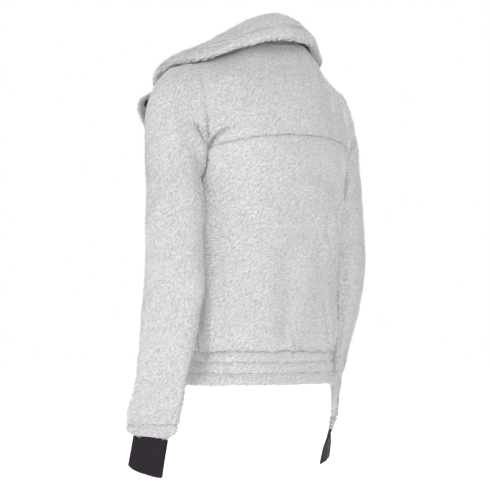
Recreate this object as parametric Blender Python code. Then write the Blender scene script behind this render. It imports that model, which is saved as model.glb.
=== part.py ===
"""High-pile fleece jacket, worn form with no wearer: a short body on an elastic waistband, a back yoke,
set-in sleeves with a casing and a flat knit cuff, a wide fold-over collar and turned-back lapels.

Frame: metres, +Z up, the wearer faces -Y and the wearer's left is +X. The origin is the point at the back
of the neck that holds the jacket up. Tables are in millimetres, with heights measured up from the hem.
"""
import math

import bmesh
import bpy
import numpy as np

MM = 0.001

# Driving dimensions, in millimetres
HELD_HEIGHT = 540.0  # the held point, above the hem
HELD_DEPTH = 58.0  # and behind the middle of the body
WALL = 4.0  # fleece backing with its matted pile
CUFF_WALL = 2.0  # flat knit
COLLAR_LAYER = 5.5  # each of the collar's two layers
LAPEL_WALL = 8.0  # both layers of the lapel
GAP = 0.3  # between pieces that are sewn together
ARMHOLE_GAP = 0.5  # the sleeve's first ring stands this far out, because the seam there is curved
SEAM = 0.0011  # half of a seam's gap, as a share of a panel
PAST_CORNER = 1.01  # panels are measured for their thickness this little further out, past the neck corner

WAISTBAND_HEIGHT = 53.0
ARMPIT_HEIGHT = 318.0
ARMHOLE_RISE = 94.5  # half of the armhole's height
ARMHOLE_BACK = 48.0
ARMHOLE_FRONT = 46.0
ARMHOLE_BOTTOM_X = 151.0
ARMHOLE_X = 167.0
YOKE_LEVEL = 1.365  # where the yoke seam meets the armhole
CLOSE_LEVEL = 1.72  # from here the panels close over the shoulder

NECK_SHARE = 0.46  # the share of the top edge that is neckline, the rest being shoulder seam
NECK_HALF_WIDTH = 68.0
NECK_POINT_HEIGHT = 555.0
NECK_POINT_DEPTH = 4.0
SHOULDER_DIP = 6.0  # how far the shoulder seam hollows between the neck and the sleeve
BACK_NECK = (62.0, 553.0)  # depth and height of the neckline at the centre back
FRONT_NECK = (78.0, 500.0)

OVERLAP = 0.07  # how far each front passes the centre, as a share of the front
BREAK_LEVEL = 1.15  # where the lapels begin to turn back
GORGE_LEVEL = 1.80  # where the collar ends and the lapel begins
LAPEL_LEVEL = 1.42  # where the lapels leave the fronts, clear of each other
LAPEL_LIFT = 5.0  # how far the foot of each lapel stands off the front that it turns over
CROSS_LEVEL = 1.34  # up to here the left front lies inside the right one

STUD_RADIUS = 7.5
STUD_HEIGHT = 3.0
STUD_SIDES = 16

ACROSS = {"neck": 4, "front": 8, "collar": 28, "lapel": 8, "band": 40}
SLEEVE_SIDES = 16
BAND_WALL = 3.2  # the casing at the end of each sleeve
BODY_LEVELS = (0.24, 0.36, 0.52, 0.68, 0.84)  # the panels' rows of points below the armpit


class Table:
    """Rows with named columns, read as a smooth curve through the rows. The first column is the key."""

    def __init__(self, columns, rows):
        self.columns = columns.split()
        self.values = np.array(rows, float)
        self.keys = self.values[:, 0]
        self.slopes = np.gradient(self.values, self.keys, axis=0)

    def at(self, key):
        key = np.clip(np.asarray(key, float), self.keys[0], self.keys[-1])
        i = np.clip(np.searchsorted(self.keys, key, side="right") - 1, 0, len(self.keys) - 2)
        span = self.keys[i + 1] - self.keys[i]
        t = ((key - self.keys[i]) / span)[..., None]
        values = hermite(
            self.values[i], self.slopes[i] * span[..., None],
            self.values[i + 1], self.slopes[i + 1] * span[..., None], t,
        )
        return {name: values[..., n] for n, name in enumerate(self.columns)}


# The torso. Level 0 is the hem, 1 the armpit and 2 the shoulder line.
BODY = Table(
    "level mid_height back_depth front_depth half_width arc fullness",
    (
        (0.000, 0, 95, 98, 142, 90, 0.045),
        (0.167, 53, 94, 98, 139, 90, 0.045),
        (0.240, 76, 99, 103, 144, 90, 0.050),
        (0.400, 127, 101, 108, 146, 90, 0.050),
        (0.600, 191, 104, 117, 148, 90, 0.050),
        (0.800, 256, 110, 125, 150, 90, 0.055),
        (1.000, 327, 116, 130, 151, 90, 0.055),
        (1.180, 364, 119, 130, 151, 76, 0.045),
        (1.385, 405, 120, 127, 151, 68, 0.030),
        (1.560, 447, 116, 118, 151, 64, 0.015),
        (1.720, 489, 105, 104, 151, 60, 0.000),
        (1.900, 520, 88, 88, 151, 60, 0.000),
    ),
)

# The wearer's left sleeve from the shoulder down: each section's centre, its tilt (90 lies level), its two
# half sizes, how far its flat side is turned from facing sideways, and how much its front end is raised.
SLEEVE = Table(
    "key x y height tilt long short turn slant",
    (
        (1.0, 180.0, -3.0, 406, 15, 97.0, 46.0, 0, 0),
        (2.0, 191.5, -5.0, 389, 23, 91.0, 44.5, 0, 0),
        (3.0, 197.0, -4.0, 366, 32, 79.0, 43.5, 2, 0),
        (4.0, 198.5, -2.0, 339, 41, 66.0, 42.5, 8, 0),
        (5.0, 198.5, 1.5, 309, 51, 56.0, 42.0, 16, 0),
        (6.0, 198.5, 4.5, 277, 64, 49.5, 41.5, 26, 0),
        (7.0, 199.0, 7.0, 243, 78, 46.5, 40.5, 36, 0),
        (8.0, 200.0, 9.0, 200, 88, 47.5, 38.5, 42, 0),
        (9.0, 201.5, 7.5, 150, 90, 48.5, 32.5, 44, 0),
        (10.0, 203.5, 1.5, 100, 90, 46.5, 26.0, 44, 0),
        (11.0, 206.5, -7.0, 50, 90, 43.0, 18.5, 44, 0),
        (12.0, 209.0, -15.5, 0, 90, 40.0, 11.5, 44, 0),
        (13.0, 214.0, -21.5, -35, 90, 40.0, 9.0, 44, 0),
        (14.0, 215.5, -25.0, -60, 90, 39.5, 8.6, 44, 0),
    ),
)
SLEEVE_BAND = Table(
    "key x y height tilt long short turn slant",
    (
        (0.0, 215.5, -25.1, -60.5, 90, 39.5, 8.6, 44, 0.0),
        (1.0, 215.5, -26.5, -66, 90, 40.5, 9.4, 44, 1.0),
        (2.0, 214.5, -29.0, -74, 90, 38.0, 9.2, 44, 2.0),
        (3.0, 213.5, -31.0, -80, 90, 28.5, 8.0, 44, 3.0),
    ),
)
CUFF = Table(
    "key x y height tilt long short turn slant",
    (
        (0.0, 213.5, -31.1, -80.5, 90, 27.5, 7.0, 44, 3.0),
        (1.0, 212.5, -36.0, -98, 90, 27.0, 7.0, 44, 5.5),
        (2.0, 211.7, -41.5, -117, 90, 26.8, 7.3, 42, 8.0),
        (3.0, 211.2, -46.0, -134, 90, 27.0, 7.7, 40, 10.0),
    ),
)

# The collar, from its right front end (-1) round the back (0) to its left one (1). Roll is the top of the fold
# and rim the outer edge, both on the line between the two layers.
COLLAR = Table(
    "station roll_x roll_y roll_height rim_x rim_y rim_height",
    (
        (-1.00, -80, -86, 522, -130, -116, 491),
        (-0.90, -84, -66, 534, -150, -90, 505),
        (-0.76, -85, -34, 550, -157, -46, 520),
        (-0.58, -79, 14, 577, -134, 20, 533),
        (-0.42, -60, 42, 582, -86, 58, 552),
        (-0.22, -34, 63, 585, -46, 85, 558),
        (0.00, 0, 73, 590, 0, 97, 558),
        (0.22, 35, 62, 597, 48, 88, 556),
        (0.42, 61, 34, 586, 92, 62, 543),
        (0.58, 78, 0, 568, 141, 14, 521),
        (0.76, 85, -36, 548, 157, -48, 518),
        (0.90, 84, -66, 534, 150, -90, 505),
        (1.00, 80, -86, 522, 130, -116, 491),
    ),
)
COLLAR_NECK_STATION = 0.52  # where the collar passes the shoulder seam
CORNER_EASE = 2.0  # extra gap there, where the neckline turns a corner

# The left lapel's outer edge, from the break (0) to the notch under the collar (1).
LAPEL = Table(
    "station edge_x edge_y edge_height",
    (
        (0.00, 36, -141, 384),
        (0.30, 84, -143, 398),
        (0.60, 126, -139, 422),
        (0.82, 150, -131, 456),
        (1.00, 132, -123, 479),
    ),
)

# Heights of the press studs on the front, and the share of each lapel where its own stud sits.
STUD_HEIGHTS = (27, 106, 184, 262, 340)
LAPEL_STUD = (0.84, 0.90)  # along the lapel and across it


def hermite(p0, m0, p1, m1, t):
    """The smooth curve from p0 to p1 that leaves along m0 and arrives along m1."""
    t2 = t * t
    t3 = t2 * t
    return (2 * t3 - 3 * t2 + 1) * p0 + (t3 - 2 * t2 + t) * m0 + (3 * t2 - 2 * t3) * p1 + (t3 - t2) * m1


def ease(t):
    t = np.clip(t, 0, 1)
    return t * t * (3 - 2 * t)


def stack(x, y, z):
    return np.stack(np.broadcast_arrays(x, y, z), axis=-1).astype(float)


def unit(v):
    return v / np.maximum(np.linalg.norm(v, axis=-1, keepdims=True), 1e-9)


def armhole(side, angle):
    """A point of the left armhole: angle 0 is the shoulder tip, 180 the armpit; side 1 the back, -1 the front."""
    a = np.radians(angle)
    half = ARMHOLE_BACK if side > 0 else ARMHOLE_FRONT
    spread = ease((1 + np.cos(a)) / 1.1)
    x = ARMHOLE_BOTTOM_X + (ARMHOLE_X - ARMHOLE_BOTTOM_X) * spread
    return stack(x, side * half * np.sin(a), ARMPIT_HEIGHT + ARMHOLE_RISE * (1 + np.cos(a)))


def open_panel(side, across, level):
    """The torso below the level where it closes over the shoulders."""
    row = BODY.at(level)
    a = np.abs(across)
    turn = np.radians(row["arc"])
    below = stack(row["half_width"], 0 * level, np.minimum(level, 1) * ARMPIT_HEIGHT)
    above = armhole(side, (2 - np.maximum(level, 1)) * 180)
    edge = np.where((level > 1)[..., None], above, below)
    depth = row["back_depth"] if side > 0 else row["front_depth"]
    swell = 1 + row["fullness"] * np.sin(np.pi * np.clip(a, 0, 1)) ** 2
    x = np.sign(across) * edge[..., 0] * np.sin(a * turn) / np.sin(turn) * swell
    rise = (np.cos(a * turn) - np.cos(turn)) / (1 - np.cos(turn))
    edge_depth = np.abs(edge[..., 1])
    y = side * (edge_depth + (depth - edge_depth) * rise) * swell
    height = row["mid_height"] + (edge[..., 2] - row["mid_height"]) * a**2
    return stack(x, y, height)


def top_line(side, across):
    """The neckline and the shoulder seam, and the way each panel arrives there."""
    a = np.abs(across)
    sign = np.sign(across)
    neck_depth, neck_height = BACK_NECK if side > 0 else FRONT_NECK
    share = np.clip(a / NECK_SHARE, 0, 1)
    angle = share * math.pi / 2
    neck = stack(
        NECK_HALF_WIDTH * np.sin(angle),
        NECK_POINT_DEPTH + (side * neck_depth - NECK_POINT_DEPTH) * np.cos(angle),
        neck_height + (NECK_POINT_HEIGHT - neck_height) * share**2,
    )
    point = np.array([NECK_HALF_WIDTH, NECK_POINT_DEPTH, NECK_POINT_HEIGHT])
    tip = armhole(side, 0.0)
    along = np.clip((a - NECK_SHARE) / (1 - NECK_SHARE), 0, 1)[..., None]
    dip = np.array([0.0, 0.0, SHOULDER_DIP]) * np.sin(np.pi * along)
    line = np.where((a > NECK_SHARE)[..., None], point + (tip - point) * along - dip, neck)
    to_neck = unit(point - tip)
    over = np.array([0.0, -side, 0.0])
    lean = np.radians(45) * (1 - along)
    at_shoulder = over * np.cos(lean) + to_neck * np.sin(lean)
    at_back = unit(np.array([0.0, -side * 0.62, 0.78]))
    blend = ease(share)[..., None]
    arrive = np.where((a > NECK_SHARE)[..., None], at_shoulder, unit(at_back * (1 - blend) + at_shoulder * blend))
    mirror = stack(np.where(sign < 0, -1.0, 1.0), 1.0, 1.0)
    return line * mirror, arrive * mirror


def panel(side, across, level):
    """A point of the torso's outer face. Across runs from the middle (0) to the side or armhole (1 or -1)."""
    across, level = np.broadcast_arrays(np.asarray(across, float), np.asarray(level, float))
    low = open_panel(side, across, np.minimum(level, CLOSE_LEVEL))
    step = 0.004
    start = open_panel(side, across, np.full(level.shape, CLOSE_LEVEL))
    before = open_panel(side, across, np.full(level.shape, CLOSE_LEVEL - step))
    span = 2 - CLOSE_LEVEL
    top, arrive = top_line(side, across)
    reach = np.linalg.norm(top - start, axis=-1, keepdims=True)
    t = (np.maximum(level, CLOSE_LEVEL) - CLOSE_LEVEL)[..., None] / span
    closing = hermite(start, (start - before) / step * span, top, arrive * reach * 1.15, t)
    exact = armhole(side, (2 - np.clip(level, CLOSE_LEVEL, 2)) * 180)
    edge = np.ones(level.shape)
    edge_top, edge_arrive = top_line(side, edge)
    edge_start = open_panel(side, edge, np.full(level.shape, CLOSE_LEVEL))
    edge_before = open_panel(side, edge, np.full(level.shape, CLOSE_LEVEL - step))
    edge_reach = np.linalg.norm(edge_top - edge_start, axis=-1, keepdims=True)
    drawn = hermite(
        edge_start, (edge_start - edge_before) / step * span, edge_top, edge_arrive * edge_reach * 1.15, t
    )
    mirror = stack(np.where(across < 0, -1.0, 1.0), 1.0, 1.0)
    closing = closing + (np.abs(across) ** 6)[..., None] * (exact - drawn) * mirror
    return np.where((level > CLOSE_LEVEL)[..., None], closing, low)


def facing(surface, u, v):
    """The unit vector square to a surface, measured over small steps in both directions."""
    step = 0.0015
    along_u = surface(u + step, v) - surface(u - step, v)
    along_v = surface(u, v + step) - surface(u, v - step)
    return unit(np.cross(along_u, along_v))


def tuck(across, level):
    """How far the left front lies inside the right front near the centre."""
    near = ease((0.24 - across) / 0.10)
    below = 1 - ease((level - CROSS_LEVEL) / 0.12)
    return (WALL + GAP + 0.6) * near * below


def front_edge(level, side_sign):
    """Where a front ends at the centre: past it below the break, and at the roll line above it."""
    rise = np.clip((level - BREAK_LEVEL) / (2 - BREAK_LEVEL), 0, 1)
    return side_sign * (-OVERLAP + (NECK_SHARE + OVERLAP) * rise**1.15)


def back_point(across, level):
    return panel(1, across, level)


def front_point(across, level):
    """The fronts' outer face, where positive across is the wearer's left."""
    return panel(-1, across, level)


def front_facing(across, level):
    return facing(front_point, np.clip(across * PAST_CORNER, -1, 1), np.minimum(level, 2 - 0.004))


def waist_point(turn, height):
    """The waistband's outer face: turn 0 is the centre back and 1 the centre front, positive to the left."""
    level = height / ARMPIT_HEIGHT
    side_sign = np.where(turn < 0, -1.0, 1.0)
    back = panel(1, np.clip(turn, -0.5, 0.5) * 2, level)
    front = panel(-1, (1 - np.abs(turn)) * 2 * side_sign, level)
    return np.where((np.abs(turn) > 0.5)[..., None], front, back)


def collar_base(station):
    """Where the collar is sewn on and the way the panel arrives there: the back neckline, then the front's."""
    s = np.abs(station)
    hand = np.where(station < 0, -1.0, 1.0)
    on_back = s <= COLLAR_NECK_STATION
    across = hand * NECK_SHARE * np.clip(s / COLLAR_NECK_STATION, 0, 1)
    back, arrive = top_line(1, across)
    share = np.clip((s - COLLAR_NECK_STATION) / (1 - COLLAR_NECK_STATION), 0, 1)
    level = 2 - (2 - GORGE_LEVEL) * share
    edge = front_edge(level, hand)
    front = front_point(edge, level)
    step = 0.02
    inside = front_point(edge - hand * step, np.minimum(level, 1.995))
    there = front_point(edge, np.minimum(level, 1.995))
    toward = unit(inside - there)
    point = np.where(on_back[..., None], back, front)
    way = np.where(on_back[..., None], arrive, toward)
    up = np.array([0.0, 0.0, 1.0])
    return point, unit(way * 0.7 + up * 0.8)


def collar_path(station, across):
    """The line between the collar's layers: across 0 is the neck seam, 0.4 the roll and 1 the rim."""
    station, across = np.broadcast_arrays(np.asarray(station, float), np.asarray(across, float))
    row = COLLAR.at(station)
    base, way = collar_base(station)
    roll = stack(row["roll_x"], row["roll_y"], row["roll_height"])
    rim = stack(row["rim_x"], row["rim_y"], row["rim_height"])
    at_corner = np.exp(-(((np.abs(station) - COLLAR_NECK_STATION) / 0.07) ** 2))[..., None]
    base = base + way * (GAP + 0.5 + CORNER_EASE * at_corner)
    out = (rim - roll) * np.array([1.0, 1.0, 0.0])
    out = unit(out)
    stand = np.linalg.norm(roll - base, axis=-1, keepdims=True)
    fall = np.linalg.norm(rim - roll, axis=-1, keepdims=True)
    down = unit(unit(rim - roll) + np.array([0.0, 0.0, -0.55]))
    share = 0.4
    t_stand = np.clip(across / share, 0, 1)[..., None]
    t_fall = np.clip((across - share) / (1 - share), 0, 1)[..., None]
    rising = hermite(base, way * stand * 1.1, roll, out * stand * 0.5, t_stand)
    falling = hermite(roll, out * fall * 0.42, rim, down * fall * 0.9, t_fall)
    return np.where((across > share)[..., None], falling, rising)


def lapel_path(station, across):
    """The left lapel from the roll line (0) to its outer edge (1)."""
    station, across = np.broadcast_arrays(np.asarray(station, float), np.asarray(across, float))
    level = LAPEL_LEVEL + (GORGE_LEVEL - 0.02 - LAPEL_LEVEL) * station
    edge_share = front_edge(level, 1)
    start = front_point(edge_share, level)
    inside = front_point(edge_share - 0.02, level)
    toward = unit(inside - start)
    row = LAPEL.at(station)
    rim = stack(row["edge_x"], row["edge_y"], row["edge_height"])
    width = np.linalg.norm(rim - start, axis=-1, keepdims=True)
    outward = front_facing(edge_share, level)
    lift = LAPEL_LIFT * (1 - station) ** 5
    start = start + toward * (GAP + 0.7) + outward * lift[..., None]
    leave = unit(toward + outward * 0.35) * (14 + 0.35 * width)
    arrive = unit((rim - start) - outward * 0.25 * width) * width * 1.1
    return hermite(start, leave, rim, arrive, across[..., None])


def sleeve_ring(table, key, angle):
    """A point of the left sleeve. Angle 0 is the shoulder side, 90 the back and 180 the body side."""
    row = table.at(key)
    tilt = np.radians(row["tilt"])
    turn = np.radians(row["turn"])
    up = stack(np.sin(tilt), 0 * tilt, np.cos(tilt))
    back = np.array([0.0, 1.0, 0.0])
    long_way = up * np.cos(turn)[..., None] - back * np.sin(turn)[..., None]
    short_way = up * np.sin(turn)[..., None] + back * np.cos(turn)[..., None]
    centre = stack(row["x"], row["y"], row["height"])
    u = np.cos(angle)
    v = np.sin(angle)
    lift = stack(0 * u, 0 * u, row["slant"] * u)
    return centre + long_way * (row["long"] * u)[..., None] + short_way * (row["short"] * v)[..., None] + lift


def sleeve_point(key, angle):
    """The sleeve's outer face, which starts on the armhole (key 0) and follows the table from key 1."""
    key, angle = np.broadcast_arrays(np.asarray(key, float), np.asarray(angle, float))
    degrees = np.degrees(angle) % 360
    back = armhole(1, np.clip(degrees, 0, 180))
    front = armhole(-1, np.clip(360 - degrees, 0, 180))
    seam = np.where((degrees > 180)[..., None], front, back)
    seam = seam + np.array([ARMHOLE_GAP, 0.0, 0.0])
    lower = sleeve_ring(SLEEVE, np.maximum(key, 1), angle)
    ahead = sleeve_ring(SLEEVE, np.full(key.shape, 1.01), angle)
    first = sleeve_ring(SLEEVE, np.full(key.shape, 1.0), angle)
    leaving = np.array([14.0, 0.0, 0.0]) * (0.2 + 0.8 * (1 + np.cos(angle)) / 2)[..., None]
    cap = hermite(seam, leaving, first, (ahead - first) / 0.01, np.clip(key, 0, 1)[..., None])
    return np.where((key > 1)[..., None], lower, cap)


def to_frame(points):
    """Millimetres above the hem to metres from the held point."""
    return (points - np.array([0.0, HELD_DEPTH, HELD_HEIGHT])) * MM


def make_material(name, colour, roughness, metallic=0.0):
    material = bpy.data.materials.new(name)
    material.use_nodes = True
    shader = material.node_tree.nodes["Principled BSDF"]
    shader.inputs["Base Color"].default_value = (*colour, 1.0)
    shader.inputs["Roughness"].default_value = roughness
    shader.inputs["Metallic"].default_value = metallic
    return material


def add_object(name, vertices, faces, material, mirrored=False):
    points = to_frame(np.asarray(vertices, float))
    if mirrored:
        points = points * np.array([-1.0, 1.0, 1.0])
    mesh = bpy.data.meshes.new(name)
    mesh.from_pydata([tuple(p) for p in points], [], faces)
    shape = bmesh.new()
    shape.from_mesh(mesh)
    bmesh.ops.recalc_face_normals(shape, faces=shape.faces[:])
    shape.to_mesh(mesh)
    shape.free()
    mesh.materials.append(material)
    mesh.shade_smooth()
    mesh.set_sharp_from_angle(angle=math.radians(50))
    item = bpy.data.objects.new(name, mesh)
    bpy.context.scene.collection.objects.link(item)
    return item


def wall(name, outer, inner, material, closed=False, mirrored=False):
    """One closed solid between two grids of points, whose columns may run all round."""
    rows, columns = outer.shape[:2]
    vertices = np.concatenate([outer.reshape(-1, 3), inner.reshape(-1, 3)])
    inside = rows * columns
    faces = []
    last = columns if closed else columns - 1
    for r in range(rows - 1):
        for c in range(last):
            n = (c + 1) % columns
            a, b, d, e = r * columns + c, r * columns + n, (r + 1) * columns + n, (r + 1) * columns + c
            for corner in ((a, b, d), (a, d, e)):
                faces.append(corner)
                faces.append(tuple(inside + i for i in reversed(corner)))
    for c in range(last):
        n = (c + 1) % columns
        top = (rows - 1) * columns
        faces.append((inside + c, inside + n, n, c))
        faces.append((top + c, top + n, inside + top + n, inside + top + c))
    if not closed:
        for r in range(rows - 1):
            a, b = r * columns, (r + 1) * columns
            faces.append((a, b, inside + b, inside + a))
            faces.append((inside + a + last, inside + b + last, b + last, a + last))
    return add_object(name, vertices, faces, material, mirrored)


def build_back(fleece):
    """The back panel and the yoke above it, parted by the yoke seam."""
    neck = np.linspace(0, NECK_SHARE, ACROSS["neck"], endpoint=False)
    shoulder = np.linspace(NECK_SHARE, 1 - SEAM, ACROSS["front"] + 1)
    half = np.concatenate([neck, shoulder])
    across = np.concatenate([-half[:0:-1], half])
    start = WAISTBAND_HEIGHT / ARMPIT_HEIGHT + SEAM
    spans = {
        "back_panel": np.concatenate([[start], BODY_LEVELS, [1.0, 1.1, 1.22, YOKE_LEVEL - SEAM]]),
        "back_yoke": np.concatenate([[YOKE_LEVEL + SEAM, 1.5, 1.61], np.linspace(CLOSE_LEVEL, 2 - SEAM, 7)]),
    }
    for name, levels in spans.items():
        grid_level, grid_across = np.meshgrid(levels, across, indexing="ij")
        outer = panel(1, grid_across, grid_level)
        beside = np.clip(grid_across * PAST_CORNER, -1, 1)
        out = -facing(back_point, beside, np.minimum(grid_level, 2 - 0.004))
        wall(name, outer, outer - out * WALL, fleece)


def front_grid(levels, hand):
    """Across and level of a front's points, from its centre edge to its side."""
    shares = np.linspace(0, 1, ACROSS["front"] + 1)
    grid_level, share = np.meshgrid(levels, shares, indexing="ij")
    edge = front_edge(grid_level, hand)
    side = hand * (1 - SEAM)
    return edge + (side - edge) * share, grid_level


def build_fronts(fleece):
    """The two fronts up to the roll line, the right one over the left one."""
    start = WAISTBAND_HEIGHT / ARMPIT_HEIGHT + SEAM
    low = np.concatenate([[start], BODY_LEVELS, [1.0, 1.08, BREAK_LEVEL]])
    high = np.linspace(LAPEL_LEVEL, CLOSE_LEVEL, 4)
    levels = np.concatenate([low, [1.22, 1.32], high, np.linspace(1.77, 2 - SEAM, 5)])
    for name, hand in (("front_left", 1.0), ("front_right", -1.0)):
        across, level = front_grid(levels, hand)
        out = front_facing(across, level)
        outer = front_point(across, level)
        if hand > 0:
            outer = outer - out * tuck(across, level)[..., None]
        wall(name, outer, outer - out * WALL, fleece)


def build_waistband(fleece):
    """One band all round, whose right end lies over its left end."""
    past = OVERLAP / 2
    turns = np.linspace(1 + past, -1 - past, ACROSS["band"] + 1)
    heights = np.array([0.0, 17.5, 35.0, WAISTBAND_HEIGHT - GAP])
    height, turn = np.meshgrid(heights, turns, indexing="ij")
    outer = waist_point(turn, height)
    step = 0.004
    along = waist_point(turn + step, height) - waist_point(turn - step, height)
    out = unit(np.cross(along, [0.0, 0.0, 1.0]) * -1)
    outer = outer - out * tuck((1 - turn) * 2, height * 0)[..., None]
    wall("waistband", outer, outer - out * WALL, fleece)


def ring_wall(name, table, keys, thick, material, mirrored):
    """A tube from a table's sections, with its wall measured inward."""
    angles = np.linspace(0, 2 * math.pi, SLEEVE_SIDES, endpoint=False)
    key, angle = np.meshgrid(keys, angles, indexing="ij")
    outer = tube_point(table, key, angle)
    inward = tube_inward(table, key, angle, keys)
    wall(name, outer, outer + inward * thick, material, closed=True, mirrored=mirrored)


def tube_point(table, key, angle):
    """A point of a tube's outer face: the sleeve has a cap above its table, the others are the table alone."""
    if table is SLEEVE:
        return sleeve_point(key, angle)
    return sleeve_ring(table, key, angle)


def tube_inward(table, key, angle, keys):
    """The unit vector into a tube, measured over small steps that stay between its ends."""
    step = 0.01
    low = np.clip(key - step, keys[0], keys[-1])
    high = np.clip(key + step, keys[0], keys[-1])
    along = tube_point(table, high, angle) - tube_point(table, low, angle)
    around = tube_point(table, key, angle + step) - tube_point(table, key, angle - step)
    return unit(np.cross(around, along))


def build_sleeves(fleece, knit):
    """Each sleeve with the casing at its end and the knit cuff below it."""
    sleeve_keys = np.array([0.0, 0.5, 1.0, 2.0, 3.0, 4.0, 5.0, 6.0, 7.0, 8.0, 9.0, 10.0, 11.0, 12.0, 13.0, 14.0])
    pieces = (
        ("sleeve", SLEEVE, sleeve_keys, WALL, fleece),
        ("sleeve_band", SLEEVE_BAND, np.array([0.0, 0.6, 1.3, 2.0, 2.6, 3.0]), BAND_WALL, fleece),
        ("cuff", CUFF, np.array([0.0, 1.0, 2.0, 3.0]), CUFF_WALL, knit),
    )
    for name, table, keys, thick, material in pieces:
        for hand, mirrored in (("left", False), ("right", True)):
            ring_wall(f"{name}_{hand}", table, keys, thick, material, mirrored)


def build_collar(fleece):
    """The collar's two layers, folded over together: the upper one outside, the under one beneath it."""
    stations = np.linspace(-1, 1, ACROSS["collar"] + 1)
    shares = np.array([0.0, 0.18, 0.32, 0.4, 0.5, 0.64, 0.82, 1.0])
    share, station = np.meshgrid(shares, stations, indexing="ij")
    line = collar_path(station, share)
    inner_share = np.clip(share, 0.002, 0.998)
    out = facing(collar_path, np.clip(station, -0.998, 0.998), inner_share)
    near = line + out * GAP / 2
    wall("collar_upper", near + out * COLLAR_LAYER, near, fleece)
    near = line - out * GAP / 2
    wall("collar_under", near, near - out * COLLAR_LAYER, fleece)


def lapel_faces():
    """The lapel's middle surface and the direction out of its upper face."""
    stations = np.linspace(0, 1, ACROSS["lapel"] + 1)
    shares = np.array([0.0, 0.1, 0.22, 0.36, 0.52, 0.68, 0.84, 1.0])
    share, station = np.meshgrid(shares, stations, indexing="ij")
    return lapel_path(station, share), facing(lapel_path, np.clip(station, 0.002, 0.998), np.clip(share, 0.002, 0.998))


def build_lapels(fleece):
    """The turned-back tops of the fronts."""
    line, out = lapel_faces()
    half = LAPEL_WALL / 2
    for name, mirrored in (("lapel_left", False), ("lapel_right", True)):
        wall(name, line + out * half, line - out * half, fleece, mirrored=mirrored)


def add_stud(name, centre, out, metal, mirrored=False):
    """A press stud's cap: a low disc with a bevelled rim, standing just off the cloth."""
    out = unit(out)
    side = unit(np.cross(out, [0.0, 0.0, 1.0]))
    up = np.cross(side, out)
    rings = ((STUD_RADIUS, 0.0), (STUD_RADIUS, STUD_HEIGHT * 0.55), (STUD_RADIUS * 0.72, STUD_HEIGHT))
    vertices = []
    for radius, height in rings:
        for n in range(STUD_SIDES):
            angle = 2 * math.pi * n / STUD_SIDES
            vertices.append(centre + out * (GAP + height) + (side * math.cos(angle) + up * math.sin(angle)) * radius)
    faces = [tuple(range(STUD_SIDES))]
    for ring in range(len(rings) - 1):
        for n in range(STUD_SIDES):
            a = ring * STUD_SIDES + n
            b = ring * STUD_SIDES + (n + 1) % STUD_SIDES
            faces.append((a, a + STUD_SIDES, b + STUD_SIDES, b))
    top = (len(rings) - 1) * STUD_SIDES
    faces.append(tuple(top + n for n in reversed(range(STUD_SIDES))))
    add_object(name, vertices, faces, metal, mirrored)


def build_studs(metal):
    """The closed studs down the front and the open one on each lapel."""
    for n, height in enumerate(STUD_HEIGHTS, 1):
        level = np.array(height / ARMPIT_HEIGHT)
        if height > ARMPIT_HEIGHT:
            level = np.interp(height, BODY.values[:, 1], BODY.keys)
        level = np.asarray(level, float)
        middle = np.asarray(0.0)
        centre = front_point(middle, level)
        add_stud(f"press_stud_{n}", centre, front_facing(middle, level), metal)
    along, across = LAPEL_STUD
    u, v = np.asarray(along), np.asarray(across)
    out = facing(lapel_path, u, v)
    if out[1] < 0:
        out = -out
    centre = lapel_path(u, v) + out * (LAPEL_WALL / 2 + 4 * GAP)
    add_stud("press_stud_lapel_left", centre, out, metal)
    add_stud("press_stud_lapel_right", centre, out, metal, mirrored=True)


def main():
    for item in list(bpy.data.objects):
        bpy.data.objects.remove(item, do_unlink=True)
    fleece = make_material("light_grey_fleece", (0.68, 0.69, 0.70), 0.95)
    knit = make_material("charcoal_knit", (0.035, 0.030, 0.034), 0.9)
    metal = make_material("dark_metal", (0.03, 0.03, 0.03), 0.35, 1.0)
    build_back(fleece)
    build_fronts(fleece)
    build_waistband(fleece)
    build_sleeves(fleece, knit)
    build_collar(fleece)
    build_lapels(fleece)
    build_studs(metal)


main()
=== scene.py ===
"""Looks of the high-pile fleece jacket: fleece shells with their folds, seams and pile, flat knit cuffs,
press studs, a pale floor, soft light and the camera.

Tables are in millimetres, with heights measured up from the hem and y from the middle of the body; pieces are
made in metres from the held point at the back of the neck.
"""

import math

import bpy
import numpy as np
from mathutils import Matrix, Vector


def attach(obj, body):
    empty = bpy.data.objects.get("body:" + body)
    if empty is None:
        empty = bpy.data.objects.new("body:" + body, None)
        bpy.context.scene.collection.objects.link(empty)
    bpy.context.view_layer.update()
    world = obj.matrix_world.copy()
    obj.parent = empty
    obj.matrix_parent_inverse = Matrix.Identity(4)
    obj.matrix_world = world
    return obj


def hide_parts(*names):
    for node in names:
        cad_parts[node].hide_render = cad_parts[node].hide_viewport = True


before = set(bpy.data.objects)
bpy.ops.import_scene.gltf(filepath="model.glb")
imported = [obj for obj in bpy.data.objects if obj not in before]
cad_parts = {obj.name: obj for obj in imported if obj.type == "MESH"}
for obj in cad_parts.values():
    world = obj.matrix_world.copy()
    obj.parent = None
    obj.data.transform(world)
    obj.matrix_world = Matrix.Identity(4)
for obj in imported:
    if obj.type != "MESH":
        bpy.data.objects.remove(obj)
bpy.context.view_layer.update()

MM = 0.001
SEED = 41

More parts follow.
